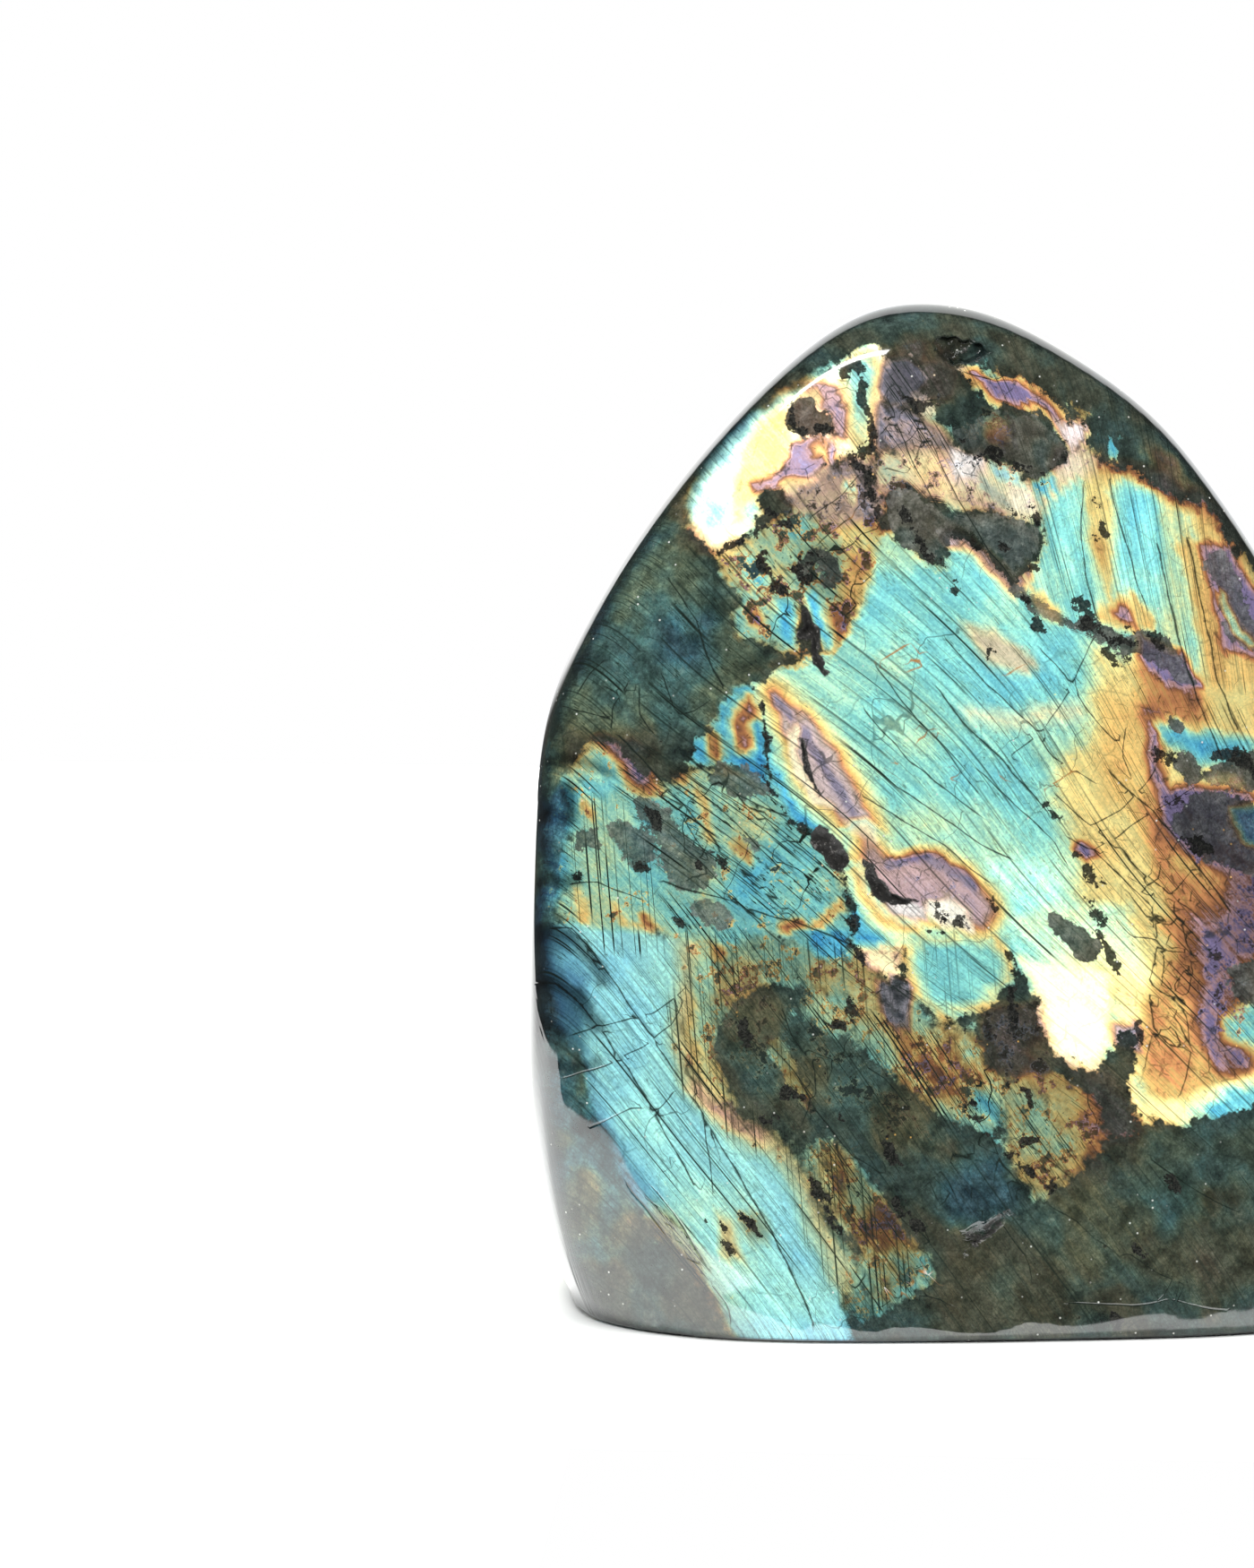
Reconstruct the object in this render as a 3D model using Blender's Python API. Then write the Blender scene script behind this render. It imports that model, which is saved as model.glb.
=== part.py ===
"""A polished labradorite freeform: one stone, ground smooth all over, that stands on a sawn flat base.

The front is a gently domed face that leans back, with rounded shoulders running round to the sides.
Frame: +Z up, the front face towards -Y, the origin at the middle of the box under the base. Metres.
"""
import math

import bmesh
import bpy
import numpy as np
from mathutils import Matrix, Vector, noise

MM = 0.001

# Driving sizes
CENTRE_HEIGHT = 62 * MM            # height of the body's middle, which the outline is measured about
BASE_FRONT = -30.4 * MM            # how far forward the front face would meet the base, at the middle
BASE_BACK = 28.0 * MM
FRONT_LEAN = math.tan(math.radians(10.8))   # the front face leans back
BACK_LEAN = math.tan(math.radians(2.6))     # the back leans forward a little
FRONT_TURN = math.tan(math.radians(6.6))    # the right of the front stands further back
FRONT_DOME = 2.2 * MM
BACK_DOME = 5.5 * MM
FRONT_FULLNESS = 5.2               # 2 is an ellipse and 8 nearly a box: how tight the shoulders are
BACK_FULLNESS = 3.4
SOFT_CORNER = math.radians(-142)   # where round the front the shoulder is broadest: low on the left
SOFT_CORNER_SPREAD = math.radians(34)
SOFT_CORNER_FULLNESS = 3.2
BASE_BEVEL = 1.3 * MM
SHORTEST_EDGE = 1.1 * MM           # shorter edges beside the saw cut are closed up

# The outline seen from the front, as (across, up) in mm, from the top clockwise. Below 0 it is the
# shape that the rough had before the base was sawn off.
OUTLINE_MM = (
    (-3.2, 149.8), (5.7, 148.2), (12.4, 145.3), (19.2, 141.6), (25.8, 137.5), (32.6, 131.6),
    (39.2, 123.4), (45.7, 114.2), (51.6, 104.2), (56.2, 93.7), (59.8, 81.8), (61.8, 68.0),
    (62.4, 52.0), (62.5, 34.0), (61.8, 14.0), (60.0, -8.0), (54.0, -32.0), (38.0, -50.0),
    (12.0, -56.0), (-12.0, -48.0), (-31.0, -31.0), (-44.6, -15.5), (-53.2, -4.0), (-57.6, 5.0),
    (-60.3, 16.0), (-61.4, 26.0), (-61.8, 38.0), (-61.8, 49.2), (-61.8, 61.5), (-61.4, 76.0),
    (-60.0, 87.0), (-57.5, 94.4), (-53.4, 102.4), (-48.7, 110.5), (-43.4, 118.6), (-37.2, 126.7),
    (-29.9, 135.0), (-21.1, 143.4), (-12.2, 148.9),
)
OUTLINE_SAMPLES = 1440
OUTLINE_SOFTENING = 2.2            # degrees

# The grid of the body's skin
COLUMNS = 36
ROWS = 44
BELT_ROWS = 9
FRONT_REACH = math.radians(60)     # how far round the shoulder the front grid goes
BACK_REACH = math.radians(56)

# Ground flats and hollows that polishing leaves: low swells on the skin
SWELL_HEIGHT = 0.45 * MM
SWELL_SIZE = 34 * MM

# Natural hollows in the front, where the rough was open. Each is name, (across, up) of its middle,
# (width, height, depth), turn in degrees and fineness, in mm.
HOLLOWS = (
    ("crown_hollow", (4.2, 142.2), (10.5, 5.6, 1.5), -20, 3),
    ("upper_slit", (-18.9, 103.2), (2.2, 6.6, 0.9), 12, 2),
    ("middle_slit", (-19.8, 83.5), (1.9, 7.2, 1.0), 14, 2),
    ("dark_hollow", (-16.4, 71.3), (5.2, 3.7, 0.9), -24, 2),
    ("wedge_hollow", (-6.0, 66.3), (6.6, 3.9, 1.1), -37, 2),
    ("foot_hollow", (8.1, 16.3), (5.2, 2.6, 0.9), 40, 2),
)
HOLLOW_RAGGED = 0.2                # share of its size by which a hollow's edge strays

STONE_COLOUR = (0.075, 0.115, 0.115, 1.0)
STONE_ROUGHNESS = 0.12


def clear_scene():
    for obj in list(bpy.data.objects):
        bpy.data.objects.remove(obj)


def outline_radius():
    """The outline's distance from the body's middle for every angle, softened so the polish runs true."""
    points = np.array(OUTLINE_MM) * MM - (0.0, CENTRE_HEIGHT)
    before, after, next_but_one = (np.roll(points, k, axis=0) for k in (1, -1, -2))
    t = np.linspace(0, 1, 40, endpoint=False)[:, None, None]
    curve = 0.5 * (
        2 * points
        + (after - before) * t
        + (2 * before - 5 * points + 4 * after - next_but_one) * t**2
        + (3 * points - before - 3 * after + next_but_one) * t**3
    ).transpose(1, 0, 2).reshape(-1, 2)
    angle = np.arctan2(curve[:, 1], curve[:, 0])
    order = np.argsort(angle)
    samples = np.linspace(-math.pi, math.pi, OUTLINE_SAMPLES, endpoint=False)
    radius = np.interp(samples, angle[order], np.hypot(*curve.T)[order], period=2 * math.pi)
    spread = OUTLINE_SOFTENING * OUTLINE_SAMPLES / 360
    steps = np.arange(OUTLINE_SAMPLES)
    kernel = np.exp(-0.5 * (np.minimum(steps, OUTLINE_SAMPLES - steps) / spread) ** 2)
    softened = np.fft.ifft(np.fft.fft(radius) * np.fft.fft(kernel / kernel.sum())).real
    return samples, softened


def front_fullness(angle):
    """The front shoulder is tight all round, except low on the left, where it is broad and soft."""
    away = math.remainder(angle - SOFT_CORNER, 2 * math.pi) / SOFT_CORNER_SPREAD
    return FRONT_FULLNESS + (SOFT_CORNER_FULLNESS - FRONT_FULLNESS) * math.exp(-away * away)


def skin_point(across, up, depth, samples, radius):
    """Carries a point of a cube from -1 to 1 each way to the stone's skin. depth -1 is the front."""
    u = across * math.sqrt(1 - up * up / 2)
    v = up * math.sqrt(1 - across * across / 2)
    ring = min(1.0, math.hypot(u, v))
    if ring < 0.9999:
        turn = ring * FRONT_REACH if depth < 0 else math.pi - ring * BACK_REACH
    else:
        share = (depth + 1) / 2
        turn = FRONT_REACH + share * (math.pi - BACK_REACH - FRONT_REACH)
    angle = math.atan2(v, u)
    fullness = front_fullness(angle) if turn < math.pi / 2 else BACK_FULLNESS
    sine, cosine = math.sin(turn), abs(math.cos(turn))
    size = (sine**fullness + cosine**fullness) ** (-1 / fullness)
    out, forward = sine * size, cosine * size
    reach = out * float(np.interp(angle, samples, radius, period=2 * math.pi))
    x = reach * math.cos(angle)
    z = reach * math.sin(angle) + CENTRE_HEIGHT
    front = BASE_FRONT + FRONT_LEAN * z + FRONT_TURN * x - FRONT_DOME * (1 - out * out)
    back = BASE_BACK - BACK_LEAN * z + BACK_DOME * (1 - out * out)
    middle = 0.5 * (BASE_FRONT + BASE_BACK + (FRONT_LEAN - BACK_LEAN) * z + FRONT_TURN * x)
    wall = front if turn < math.pi / 2 else back
    return Vector((x, middle + (wall - middle) * forward, z))


def cut_edges_along(bm, axis, cuts):
    """Divides the cube's edges that run along one axis, and the faces between them."""
    edges = [e for e in bm.edges if abs((e.verts[0].co - e.verts[1].co)[axis]) > 1e-6]
    bmesh.ops.subdivide_edges(bm, edges=edges, cuts=cuts, use_grid_fill=True)


def gridded_cube():
    bm = bmesh.new()
    bmesh.ops.create_cube(bm, size=2)
    for axis, cells in enumerate((COLUMNS, BELT_ROWS, ROWS)):
        cut_edges_along(bm, axis, cells - 1)
    return bm


def raise_swells(bm):
    """Hand polishing never leaves a true surface, so the skin swells and dips a little."""
    bm.normal_update()
    for v in bm.verts:
        height = noise.noise(v.co / SWELL_SIZE + Vector((3.1, 0.4, 7.7)))
        v.co += v.normal * height * SWELL_HEIGHT * 2


def saw_base(bm):
    """Saws the stone off flat at z = 0, closes up slivers beside the cut, and eases its edge."""
    geometry = bm.verts[:] + bm.edges[:] + bm.faces[:]
    bmesh.ops.bisect_plane(
        bm, geom=geometry, dist=1e-7, plane_co=(0, 0, 0), plane_no=(0, 0, 1), clear_inner=True
    )
    rim = [v for v in bm.verts if abs(v.co.z) < 1e-6]
    for v in rim:
        for e in v.link_edges:
            other = e.other_vert(v)
            if abs(other.co.z) > 1e-6 and e.calc_length() < SHORTEST_EDGE:
                other.co = v.co
    bmesh.ops.remove_doubles(bm, verts=bm.verts[:], dist=1e-6)
    open_edges = [e for e in bm.edges if e.is_boundary]
    base = bmesh.ops.contextual_create(bm, geom=open_edges)["faces"][0]
    bmesh.ops.bevel(
        bm, geom=list(base.edges), offset=BASE_BEVEL, segments=2, profile=0.5, affect="EDGES"
    )
    bmesh.ops.recalc_face_normals(bm, faces=bm.faces[:])


def centre_on_box(bm):
    """Puts the origin under the middle of the stone's own box."""
    corners = np.array([v.co for v in bm.verts])
    middle = (corners.min(0) + corners.max(0)) / 2
    bmesh.ops.translate(bm, verts=bm.verts[:], vec=(-middle[0], -middle[1], 0))


def stone_material():
    material = bpy.data.materials.new("polished_labradorite")
    material.use_nodes = True
    surface = material.node_tree.nodes["Principled BSDF"]
    surface.inputs["Base Color"].default_value = STONE_COLOUR
    surface.inputs["Roughness"].default_value = STONE_ROUGHNESS
    surface.inputs["Metallic"].default_value = 0.0
    return material


def build_body():
    samples, radius = outline_radius()
    bm = gridded_cube()
    for v in bm.verts:
        v.co = skin_point(v.co.x, v.co.z, v.co.y, samples, radius)
    raise_swells(bm)
    saw_base(bm)
    centre_on_box(bm)
    mesh = bpy.data.meshes.new("labradorite_freeform")
    bm.to_mesh(mesh)
    bm.free()
    body = bpy.data.objects.new("labradorite_freeform", mesh)
    bpy.context.scene.collection.objects.link(body)
    mesh.materials.append(stone_material())
    return body


def front_at(body, across, up):
    """The point and normal of the front face behind a place seen from the front."""
    start = Vector((across, -0.2, up))
    hit, place, normal, _ = body.ray_cast(start, Vector((0, 1, 0)))
    return place, normal


def hollow_cutter(body, name, middle, size, turn, fineness):
    """A ragged lens sunk in the face to its depth, as the tool that cuts one hollow."""
    width, height, depth = (MM * s for s in size)
    place, normal = front_at(body, middle[0] * MM, middle[1] * MM)
    bm = bmesh.new()
    bmesh.ops.create_icosphere(bm, subdivisions=fineness, radius=1)
    for v in bm.verts:
        v.co *= 1 + HOLLOW_RAGGED * noise.noise(v.co * 1.7 + Vector((seed_of(name), 0, 0)))
        v.co = Vector((v.co.x * width / 2, v.co.y * height / 2, v.co.z * depth))
    mesh = bpy.data.meshes.new(name)
    bm.to_mesh(mesh)
    bm.free()
    cutter = bpy.data.objects.new(name, mesh)
    bpy.context.scene.collection.objects.link(cutter)
    upright = Matrix((Vector((1, 0, 0)), Vector((0, 0, 1)), Vector((0, -1, 0)))).transposed()
    lean = normal.rotation_difference(Vector((0, -1, 0))).inverted().to_matrix()
    turned = lean @ upright @ Matrix.Rotation(math.radians(turn), 3, "Z")
    cutter.matrix_world = Matrix.Translation(place) @ turned.to_4x4()
    cutter.hide_render = True
    cutter.display_type = "WIRE"
    return cutter


def seed_of(name):
    """A number of its own for each hollow, from its name."""
    return sum(ord(letter) for letter in name) * 0.37


def sink_hollows(body):
    for name, middle, size, turn, fineness in HOLLOWS:
        cutter = hollow_cutter(body, name, middle, size, turn, fineness)
        cut = body.modifiers.new(name, "BOOLEAN")
        cut.operation = "DIFFERENCE"
        cut.solver = "EXACT"
        cut.object = cutter


def main():
    clear_scene()
    body = build_body()
    body.data.shade_smooth()
    body.data.set_sharp_from_angle(angle=math.radians(40))
    bpy.context.view_layer.update()
    sink_hollows(body)


main()
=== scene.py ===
import math

import bpy
import numpy as np
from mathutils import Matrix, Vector, noise


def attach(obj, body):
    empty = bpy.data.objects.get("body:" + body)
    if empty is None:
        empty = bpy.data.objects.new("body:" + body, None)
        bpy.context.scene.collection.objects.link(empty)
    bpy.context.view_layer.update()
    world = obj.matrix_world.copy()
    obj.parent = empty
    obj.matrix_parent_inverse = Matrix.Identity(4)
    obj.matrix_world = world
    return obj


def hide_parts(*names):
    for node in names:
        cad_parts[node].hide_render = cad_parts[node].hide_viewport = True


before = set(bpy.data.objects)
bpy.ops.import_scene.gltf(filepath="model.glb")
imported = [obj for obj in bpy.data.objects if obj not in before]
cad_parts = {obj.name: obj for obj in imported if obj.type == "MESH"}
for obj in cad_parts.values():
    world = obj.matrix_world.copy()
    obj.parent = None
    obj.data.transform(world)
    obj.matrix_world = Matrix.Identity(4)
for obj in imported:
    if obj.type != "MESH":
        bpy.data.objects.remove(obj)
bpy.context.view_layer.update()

# The polished labradorite freeform as it looks: flash, cleavage, cracks, hollows and polish, in a pale
# studio. Metres in the scene, and mm on the stone's face and in its material.
MM = 0.001
NODE = "labradorite_freeform"
SLOT = "polished_labradorite"
NOISE_SEED = 7        # without it, noise vectors would differ from run to run

# The camera
LENS = 110.0
SENSOR = 36.0
CAMERA_TARGET = Vector((0.0, 0.0, 0.075))
CAMERA_DISTANCE = 0.722263
CAMERA_RISE = math.radians(9.5)
CAMERA_LEFTWARD = math.radians(3.8511)
CAMERA_DOWNWARD = math.radians(9.2675)

# Places on the face are measured in mm, square to the line of sight, on a plane at the stone's distance.
# The photo's middle lies FACE_MIDDLE to the left of and above the face's zero.
FACE_DISTANCE = 703.6
FACE_MIDDLE = (46.7, 81.8)


# Shape

SUBDIVISIONS = 2
DOUBLES_WITHIN = 0.00001
QUAD_FOLD = math.radians(30)       # two triangles that fold less than this become one quad
QUAD_SKEW = math.radians(40)       # and its corners stray less than this from square
UNDERSIDE_SLOPE = -0.999           # faces of the sawn base point down by this or more
UNDERSIDE_FLAT = math.radians(1)


def stone_blank():
    """The CAD stone as one smooth skin of quads, fine enough to hold the painted flash."""
    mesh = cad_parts[NODE].data.copy()
    stone = bpy.data.objects.new("labradorite_stone", mesh)
    bpy.context.scene.collection.objects.link(stone)
    mesh.materials.clear()
    bpy.ops.object.select_all(action="DESELECT")
    bpy.context.view_layer.objects.active = stone
    stone.select_set(True)
    bpy.ops.object.mode_set(mode="EDIT")
    bpy.ops.mesh.select_all(action="SELECT")
    bpy.ops.mesh.remove_doubles(threshold=DOUBLES_WITHIN)
    bpy.ops.mesh.tris_convert_to_quads(face_threshold=QUAD_FOLD, shape_threshold=QUAD_SKEW)
    bpy.ops.mesh.select_all(action="DESELECT")
    bpy.ops.object.mode_set(mode="OBJECT")
    for face in mesh.polygons:
        face.select = face.normal.z < UNDERSIDE_SLOPE
    bpy.ops.object.mode_set(mode="EDIT")
    bpy.ops.mesh.dissolve_limited(angle_limit=UNDERSIDE_FLAT)
    bpy.ops.object.mode_set(mode="OBJECT")
    finer = stone.modifiers.new("finer", "SUBSURF")
    finer.levels = finer.render_levels = SUBDIVISIONS
    bpy.ops.object.modifier_apply(modifier=finer.name)
    bpy.ops.object.shade_smooth()
    return stone


# Natural hollows of the solid: (across, up) of the middle, width and height, in mm, and turn in degrees
HOLLOWS = (
    ((4.2, 142.2), (10.5, 5.6), -20),
    ((-18.9, 103.2), (2.2, 6.6), 12),
    ((-19.8, 83.5), (1.9, 7.2), 14),
    ((-16.4, 71.3), (5.2, 3.7), -24),
    ((-6.0, 66.3), (6.6, 3.9), -37),
    ((8.1, 16.3), (5.2, 2.6), 40),
)
SOUND_SKIN = (1.25, 2.6)      # the skin round a hollow that is drawn across it, in shares of its half size
SOUND_BLEND = 0.35            # over which the drawn skin blends into the real one, in the same shares
FRONT_SLOPE = -0.3            # the front's normals point forwards by this or more

OUTSIDE = -6.0                # mm inside an outline, for a place that is far outside it
# The same hollows with their chipped outlines: depth in mm, how far inside at most a place counts, which
# keeps the painted shade off the floors at the crown and the foot, and the outline in mm on the face
PITS = (
    (1.5, -0.1, ((-2.2, 146.4), (-0.6, 148), (2.6, 147.6), (5.4, 146.6), (6.8, 145.2), (5.4, 144), (3, 143.4),
                 (0.6, 143.2), (-1.6, 144.4))),
    (0.9, 6.0, ((-21.6, 109), (-20.2, 107.2), (-19.3, 105.6), (-18.4, 104.2), (-18.6, 101.6), (-17.8, 99.8),
                (-16.6, 97.8), (-17.8, 97.4), (-19.2, 99.4), (-19.8, 101.4), (-19.8, 103), (-21.8, 103.4),
                (-21, 105.2), (-21.4, 107.2))),
    (1.0, 6.0, ((-21.4, 88.6), (-20.6, 88.2), (-20.1, 85), (-19.2, 82.2), (-18.4, 80.6), (-19.3, 80.8),
                (-20.6, 83.4), (-21.2, 86))),
    (0.9, 6.0, ((-20, 74.6), (-18.6, 75.8), (-16.6, 74.6), (-14.5, 72), (-13.8, 70.2), (-14.9, 68.4),
                (-16.2, 69), (-17.6, 71), (-19.4, 72.4))),
    (1.1, 6.0, ((-12.2, 70.8), (-10.8, 70.2), (-9.4, 68), (-8, 66.2), (-6, 65.2), (-3.6, 64.4), (-6, 63.9),
                (-8.6, 63.9), (-10.4, 65.4), (-11.6, 68))),
    (0.9, 0.1, ((2.6, 15.8), (4.4, 16.8), (6.6, 17.6), (9.6, 19.6), (10.2, 18.8), (7.8, 16.4), (5.6, 14.6),
                (4.2, 12.6), (3.2, 10.8), (2.8, 12.8), (3.4, 14.6))),
)
PIT_WALL = 1.0                # mm over which a hollow's wall goes down
CHIPS = (1.6, 0.5, 6.0)       # chips in the outlines: size and reach in mm, and a seed


def heal_hollows(mesh):
    """Draws the sound skin across each hollow of the solid."""
    places = vertex_places(mesh) / MM
    normals = vertex_normals(mesh)
    inner, outer = SOUND_SKIN
    for (across, up), (width, height), turn in HOLLOWS:
        cosine, sine = math.cos(math.radians(turn)), math.sin(math.radians(turn))
        dx, dz = places[:, 0] - across, places[:, 2] - up
        ring = np.hypot((dx * cosine + dz * sine) / (width / 2), (dz * cosine - dx * sine) / (height / 2))
        near = np.flatnonzero((ring < outer) & (normals[:, 1] < FRONT_SLOPE))
        sound = near[ring[near] > inner]
        terms = np.stack([np.ones_like(dx), dx, dz, dx * dx, dx * dz, dz * dz, dz**3, dx**3], 1)
        skin, *_ = np.linalg.lstsq(terms[sound], places[sound, 1], rcond=None)
        blend = smooth((inner + SOUND_BLEND - ring[near]) / SOUND_BLEND)
        places[near, 1] += blend * (terms[near] @ skin - places[near, 1])
    mesh.vertices.foreach_set("co", (places * MM).astype(np.float32).ravel())
    mesh.update()


def sink_pits(mesh):
    """Sinks the hollows with chipped edges and rough floors, and gives how far inside one each vertex is."""
    places = vertex_places(mesh)
    across, up = face_places(places)
    chips = wander(places / MM, *CHIPS)
    outline = Painting(across + chips[:, 0], up + chips[:, 2])
    front = vertex_normals(mesh)[:, 1] < 0
    inside = np.full(len(places), OUTSIDE)
    for depth, most_inside, shape in PITS:
        pit = np.where(front, outline.depth(shape), OUTSIDE)
        places[:, 1] += depth * MM * smooth(pit / PIT_WALL) * (1 + chips[:, 1])
        inside = np.maximum(inside, np.minimum(pit, most_inside))
    mesh.vertices.foreach_set("co", places.astype(np.float32).ravel())
    mesh.update()
    return inside


def vertex_places(mesh):
    places = np.empty(len(mesh.vertices) * 3, np.float32)
    mesh.vertices.foreach_get("co", places)
    return places.reshape(-1, 3).astype(float)


def vertex_normals(mesh):
    normals = np.empty(len(mesh.vertices) * 3, np.float32)
    mesh.vertex_normals.foreach_get("vector", normals)
    return normals.reshape(-1, 3).astype(float)


# Places on the face

def camera_place():
    """Where the photo was taken from."""
    return CAMERA_TARGET + CAMERA_DISTANCE * Vector((0, -math.cos(CAMERA_RISE), math.sin(CAMERA_RISE)))


def sight_axes():
    """Right, up and ahead, as the camera looks."""
    flat = math.cos(CAMERA_DOWNWARD)
    ahead = Vector((-math.sin(CAMERA_LEFTWARD) * flat, math.cos(CAMERA_LEFTWARD) * flat,
                    -math.sin(CAMERA_DOWNWARD)))
    right = ahead.cross(Vector((0, 0, 1))).normalized()
    return right, right.cross(ahead), ahead


def face_places(places):
    """Where on the face each point shows, as mm across and up."""
    right, upward, ahead = (np.array(axis) for axis in sight_axes())
    away = places - np.array(camera_place())
    depth = away @ ahead
    across = away @ right / depth * FACE_DISTANCE - FACE_MIDDLE[0]
    up = away @ upward / depth * FACE_DISTANCE + FACE_MIDDLE[1]
    return across, up


def smooth(share):
    """Eases in and out from 0 to 1."""
    share = np.clip(share, 0.0, 1.0)
    return share * share * (3 - 2 * share)


def wander(places, size, reach, seed):
    """Strays each place a little, so that no painted edge runs straight."""
    noise.seed_set(NOISE_SEED)
    offset = Vector((seed, seed * 1.7, seed * 0.6))
    return reach * np.array([noise.noise_vector(Vector(p) / size + offset) for p in places])


# Painting on the face. The flash is a painted sheen: where it lies is the stone's own pattern, but in the
# real stone its colour and brightness change with the angle of view. Hue runs through the colours that
# labradorite flashes, in the order in which they lie beside each other in the stone: 0.1 violet, 0.2 deep
# blue, 0.28 bright blue, 0.4 sky, 0.5 turquoise, 0.6 pale green, 0.68 pale yellow, 0.76 gold, 0.84 orange,
# 0.9 brown, 0.95 rose, 1.0 violet grey.
BARE = {
    "lit": OUTSIDE,       # mm inside the edge of a flashing zone
    "grey": OUTSIDE,      # mm inside the edge of a patch that doesn't flash
    "hue": 0.46,
    "glow": 0.7,       # how bright a flashing zone is: 1 is full, 2 is burnt out to white, a painted highlight
    "veil": 0.10,      # how much colour a zone that doesn't flash still shows
    "fringe": 1.0,     # how much an edge runs through gold and orange
    "spots": 0.35,     # how many dark specks with warm rims
    "comb": 0.0,       # how strong the fine upright lines are
    "lines": 1.0,      # how strong the cleavage lines are
    "patchy": 0.0,     # how often dull stone breaks through the flash
    "edge": 0.25,      # mm over which the flash fades in at its edge
    "mottle": 1.0,     # how much the hue wanders
    "shade": 1.0,      # how much light the stone gives back
    "pale": 0.0,       # how washed out the flash is
    "dark": OUTSIDE,      # mm inside a black, ragged break
}


class Painting:
    """The layers that make up the stone's look, painted patch over patch."""

    def __init__(self, across, up):
        self.across, self.up = across, up
        self.layers = {name: np.full(len(across), value) for name, value in BARE.items()}

    def depth(self, shape, width=None):
        """How far inside a closed outline, or a stroke of a width, each place is, in mm."""
        ends = shape[1:] + shape[:1] if width is None else shape[1:]
        nearest = np.full(len(self.across), np.inf)
        inside = np.zeros(len(self.across), bool)
        for (ax, ay), (bx, by) in zip(shape, ends):
            run, rise = bx - ax, by - ay
            share = ((self.across - ax) * run + (self.up - ay) * rise) / (run * run + rise * rise)
            share = np.clip(share, 0, 1)
            off = np.hypot(self.across - ax - share * run, self.up - ay - share * rise)
            nearest = np.minimum(nearest, off)
            if width is None and rise:
                crossed = (ay > self.up) != (by > self.up)
                inside ^= crossed & (self.across < run * (self.up - ay) / rise + ax)
        if width is None:
            return np.where(inside, nearest, -nearest)
        return width / 2 - nearest

    def tint(self, shape, soft=1.2, width=None, **values):
        """Lays values over the layers inside a shape. Pairs of (depth, value) change with the depth."""
        depth = self.depth(shape, width)
        share = smooth(depth / soft + 0.5)
        for layer, value in values.items():
            if isinstance(value, tuple):
                value = np.interp(depth, *zip(*value))
            self.layers[layer] += share * (value - self.layers[layer])

    def flash(self, shape, soft=1.2, width=None, **values):
        """A zone that flashes."""
        self.layers["lit"] = np.maximum(self.layers["lit"], self.depth(shape, width))
        self.tint(shape, soft, width, **values)

    def dull(self, shape, soft=1.2, width=None, **values):
        """A zone that doesn't flash, let into one that does."""
        self.layers["lit"] = np.minimum(self.layers["lit"], -self.depth(shape, width))
        self.tint(shape, soft, width, **values)

    def dark(self, *shapes, width=None):
        """Black, ragged breaks."""
        for shape in shapes:
            self.layers["dark"] = np.maximum(self.layers["dark"], self.depth(shape, width))

    def grey(self, shape, soft=1.2, width=None, **values):
        """A smooth grey inclusion."""
        self.layers["grey"] = np.maximum(self.layers["grey"], self.depth(shape, width))
        self.tint(shape, soft, width, **values)


def paint_dull_zones(p):
    """The stone that shows little colour: teal grey at the upper left, green and dim blue low down."""
    p.tint(((-64, 60), (-64, 90), (-52, 120), (-30, 140), (-36, 122), (-46, 112), (-55, 96), (-57, 80),
            (-56, 60)), 4, veil=0.26, hue=0.2, spots=0.0)
    p.tint(((-57, 92), (-50, 108), (-42, 118), (-36, 116), (-31, 111), (-30, 104), (-25, 100), (-30, 96),
            (-35, 90), (-44, 90), (-52, 88)), 4, veil=0.42, hue=0.46, spots=0.3, mottle=0.5, lines=1.5)
    p.tint(((-37, 109), (-33, 106), (-36, 99), (-42, 100), (-42, 106)), 4, veil=0.5, hue=0.33)
    p.tint(((-32, 50), (-20, 51), (-12, 42), (-2, 34), (0, 28), (-10, 28), (-14, 34), (-26, 36), (-32, 42)),
           3, veil=0.24, hue=0.5, spots=0.75, mottle=0.6, lines=1.5)
    p.tint(((-1, 22), (3, 27), (9, 27), (11, 20), (6, 16), (1, 17)), 4, veil=0.36, hue=0.3, spots=0.1,
           mottle=0.3)
    p.tint(((27, 21), (31, 27), (37, 25), (38, 19), (33, 16)), 5, veil=0.3, hue=0.36, spots=0.1, mottle=0.3)
    p.tint(((12, 20), (22, 24), (30, 18), (28, 10), (16, 9)), 4, veil=0.22, hue=0.52, mottle=0.5)
    p.tint(((26, 13), (36, 16), (48, 18), (48, 8), (30, 8)), 4, veil=0.14, hue=0.7, mottle=0.5)
    p.tint(((28, 32), (48, 34), (48, 20), (38, 24), (28, 22)), 4, veil=0.18, hue=0.46, spots=0.1, mottle=0.5)
    p.tint(((-2, 12), (10, 14), (20, 10), (18, 3), (0, 4)), 4, veil=0.14, hue=0.6, mottle=0.5)
    p.tint(((-10, 146), (-2, 147), (3, 143), (0, 138), (-4, 133), (-9, 133), (-10, 140)), 2,
           veil=0.3, hue=0.72, spots=0.5, pale=0.5)
    p.tint(((28, 131), (33, 131), (38, 125), (34, 125)), 2, veil=0.5, hue=0.62)
    p.tint(((4, 50), (14, 50), (16, 39), (8, 38)), 2, veil=0.35, hue=0.76, spots=0.9)
    p.tint(((20, 40), (28, 42), (28.5, 30), (23, 29)), 2, veil=0.2, hue=0.8, spots=0.5)


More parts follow.
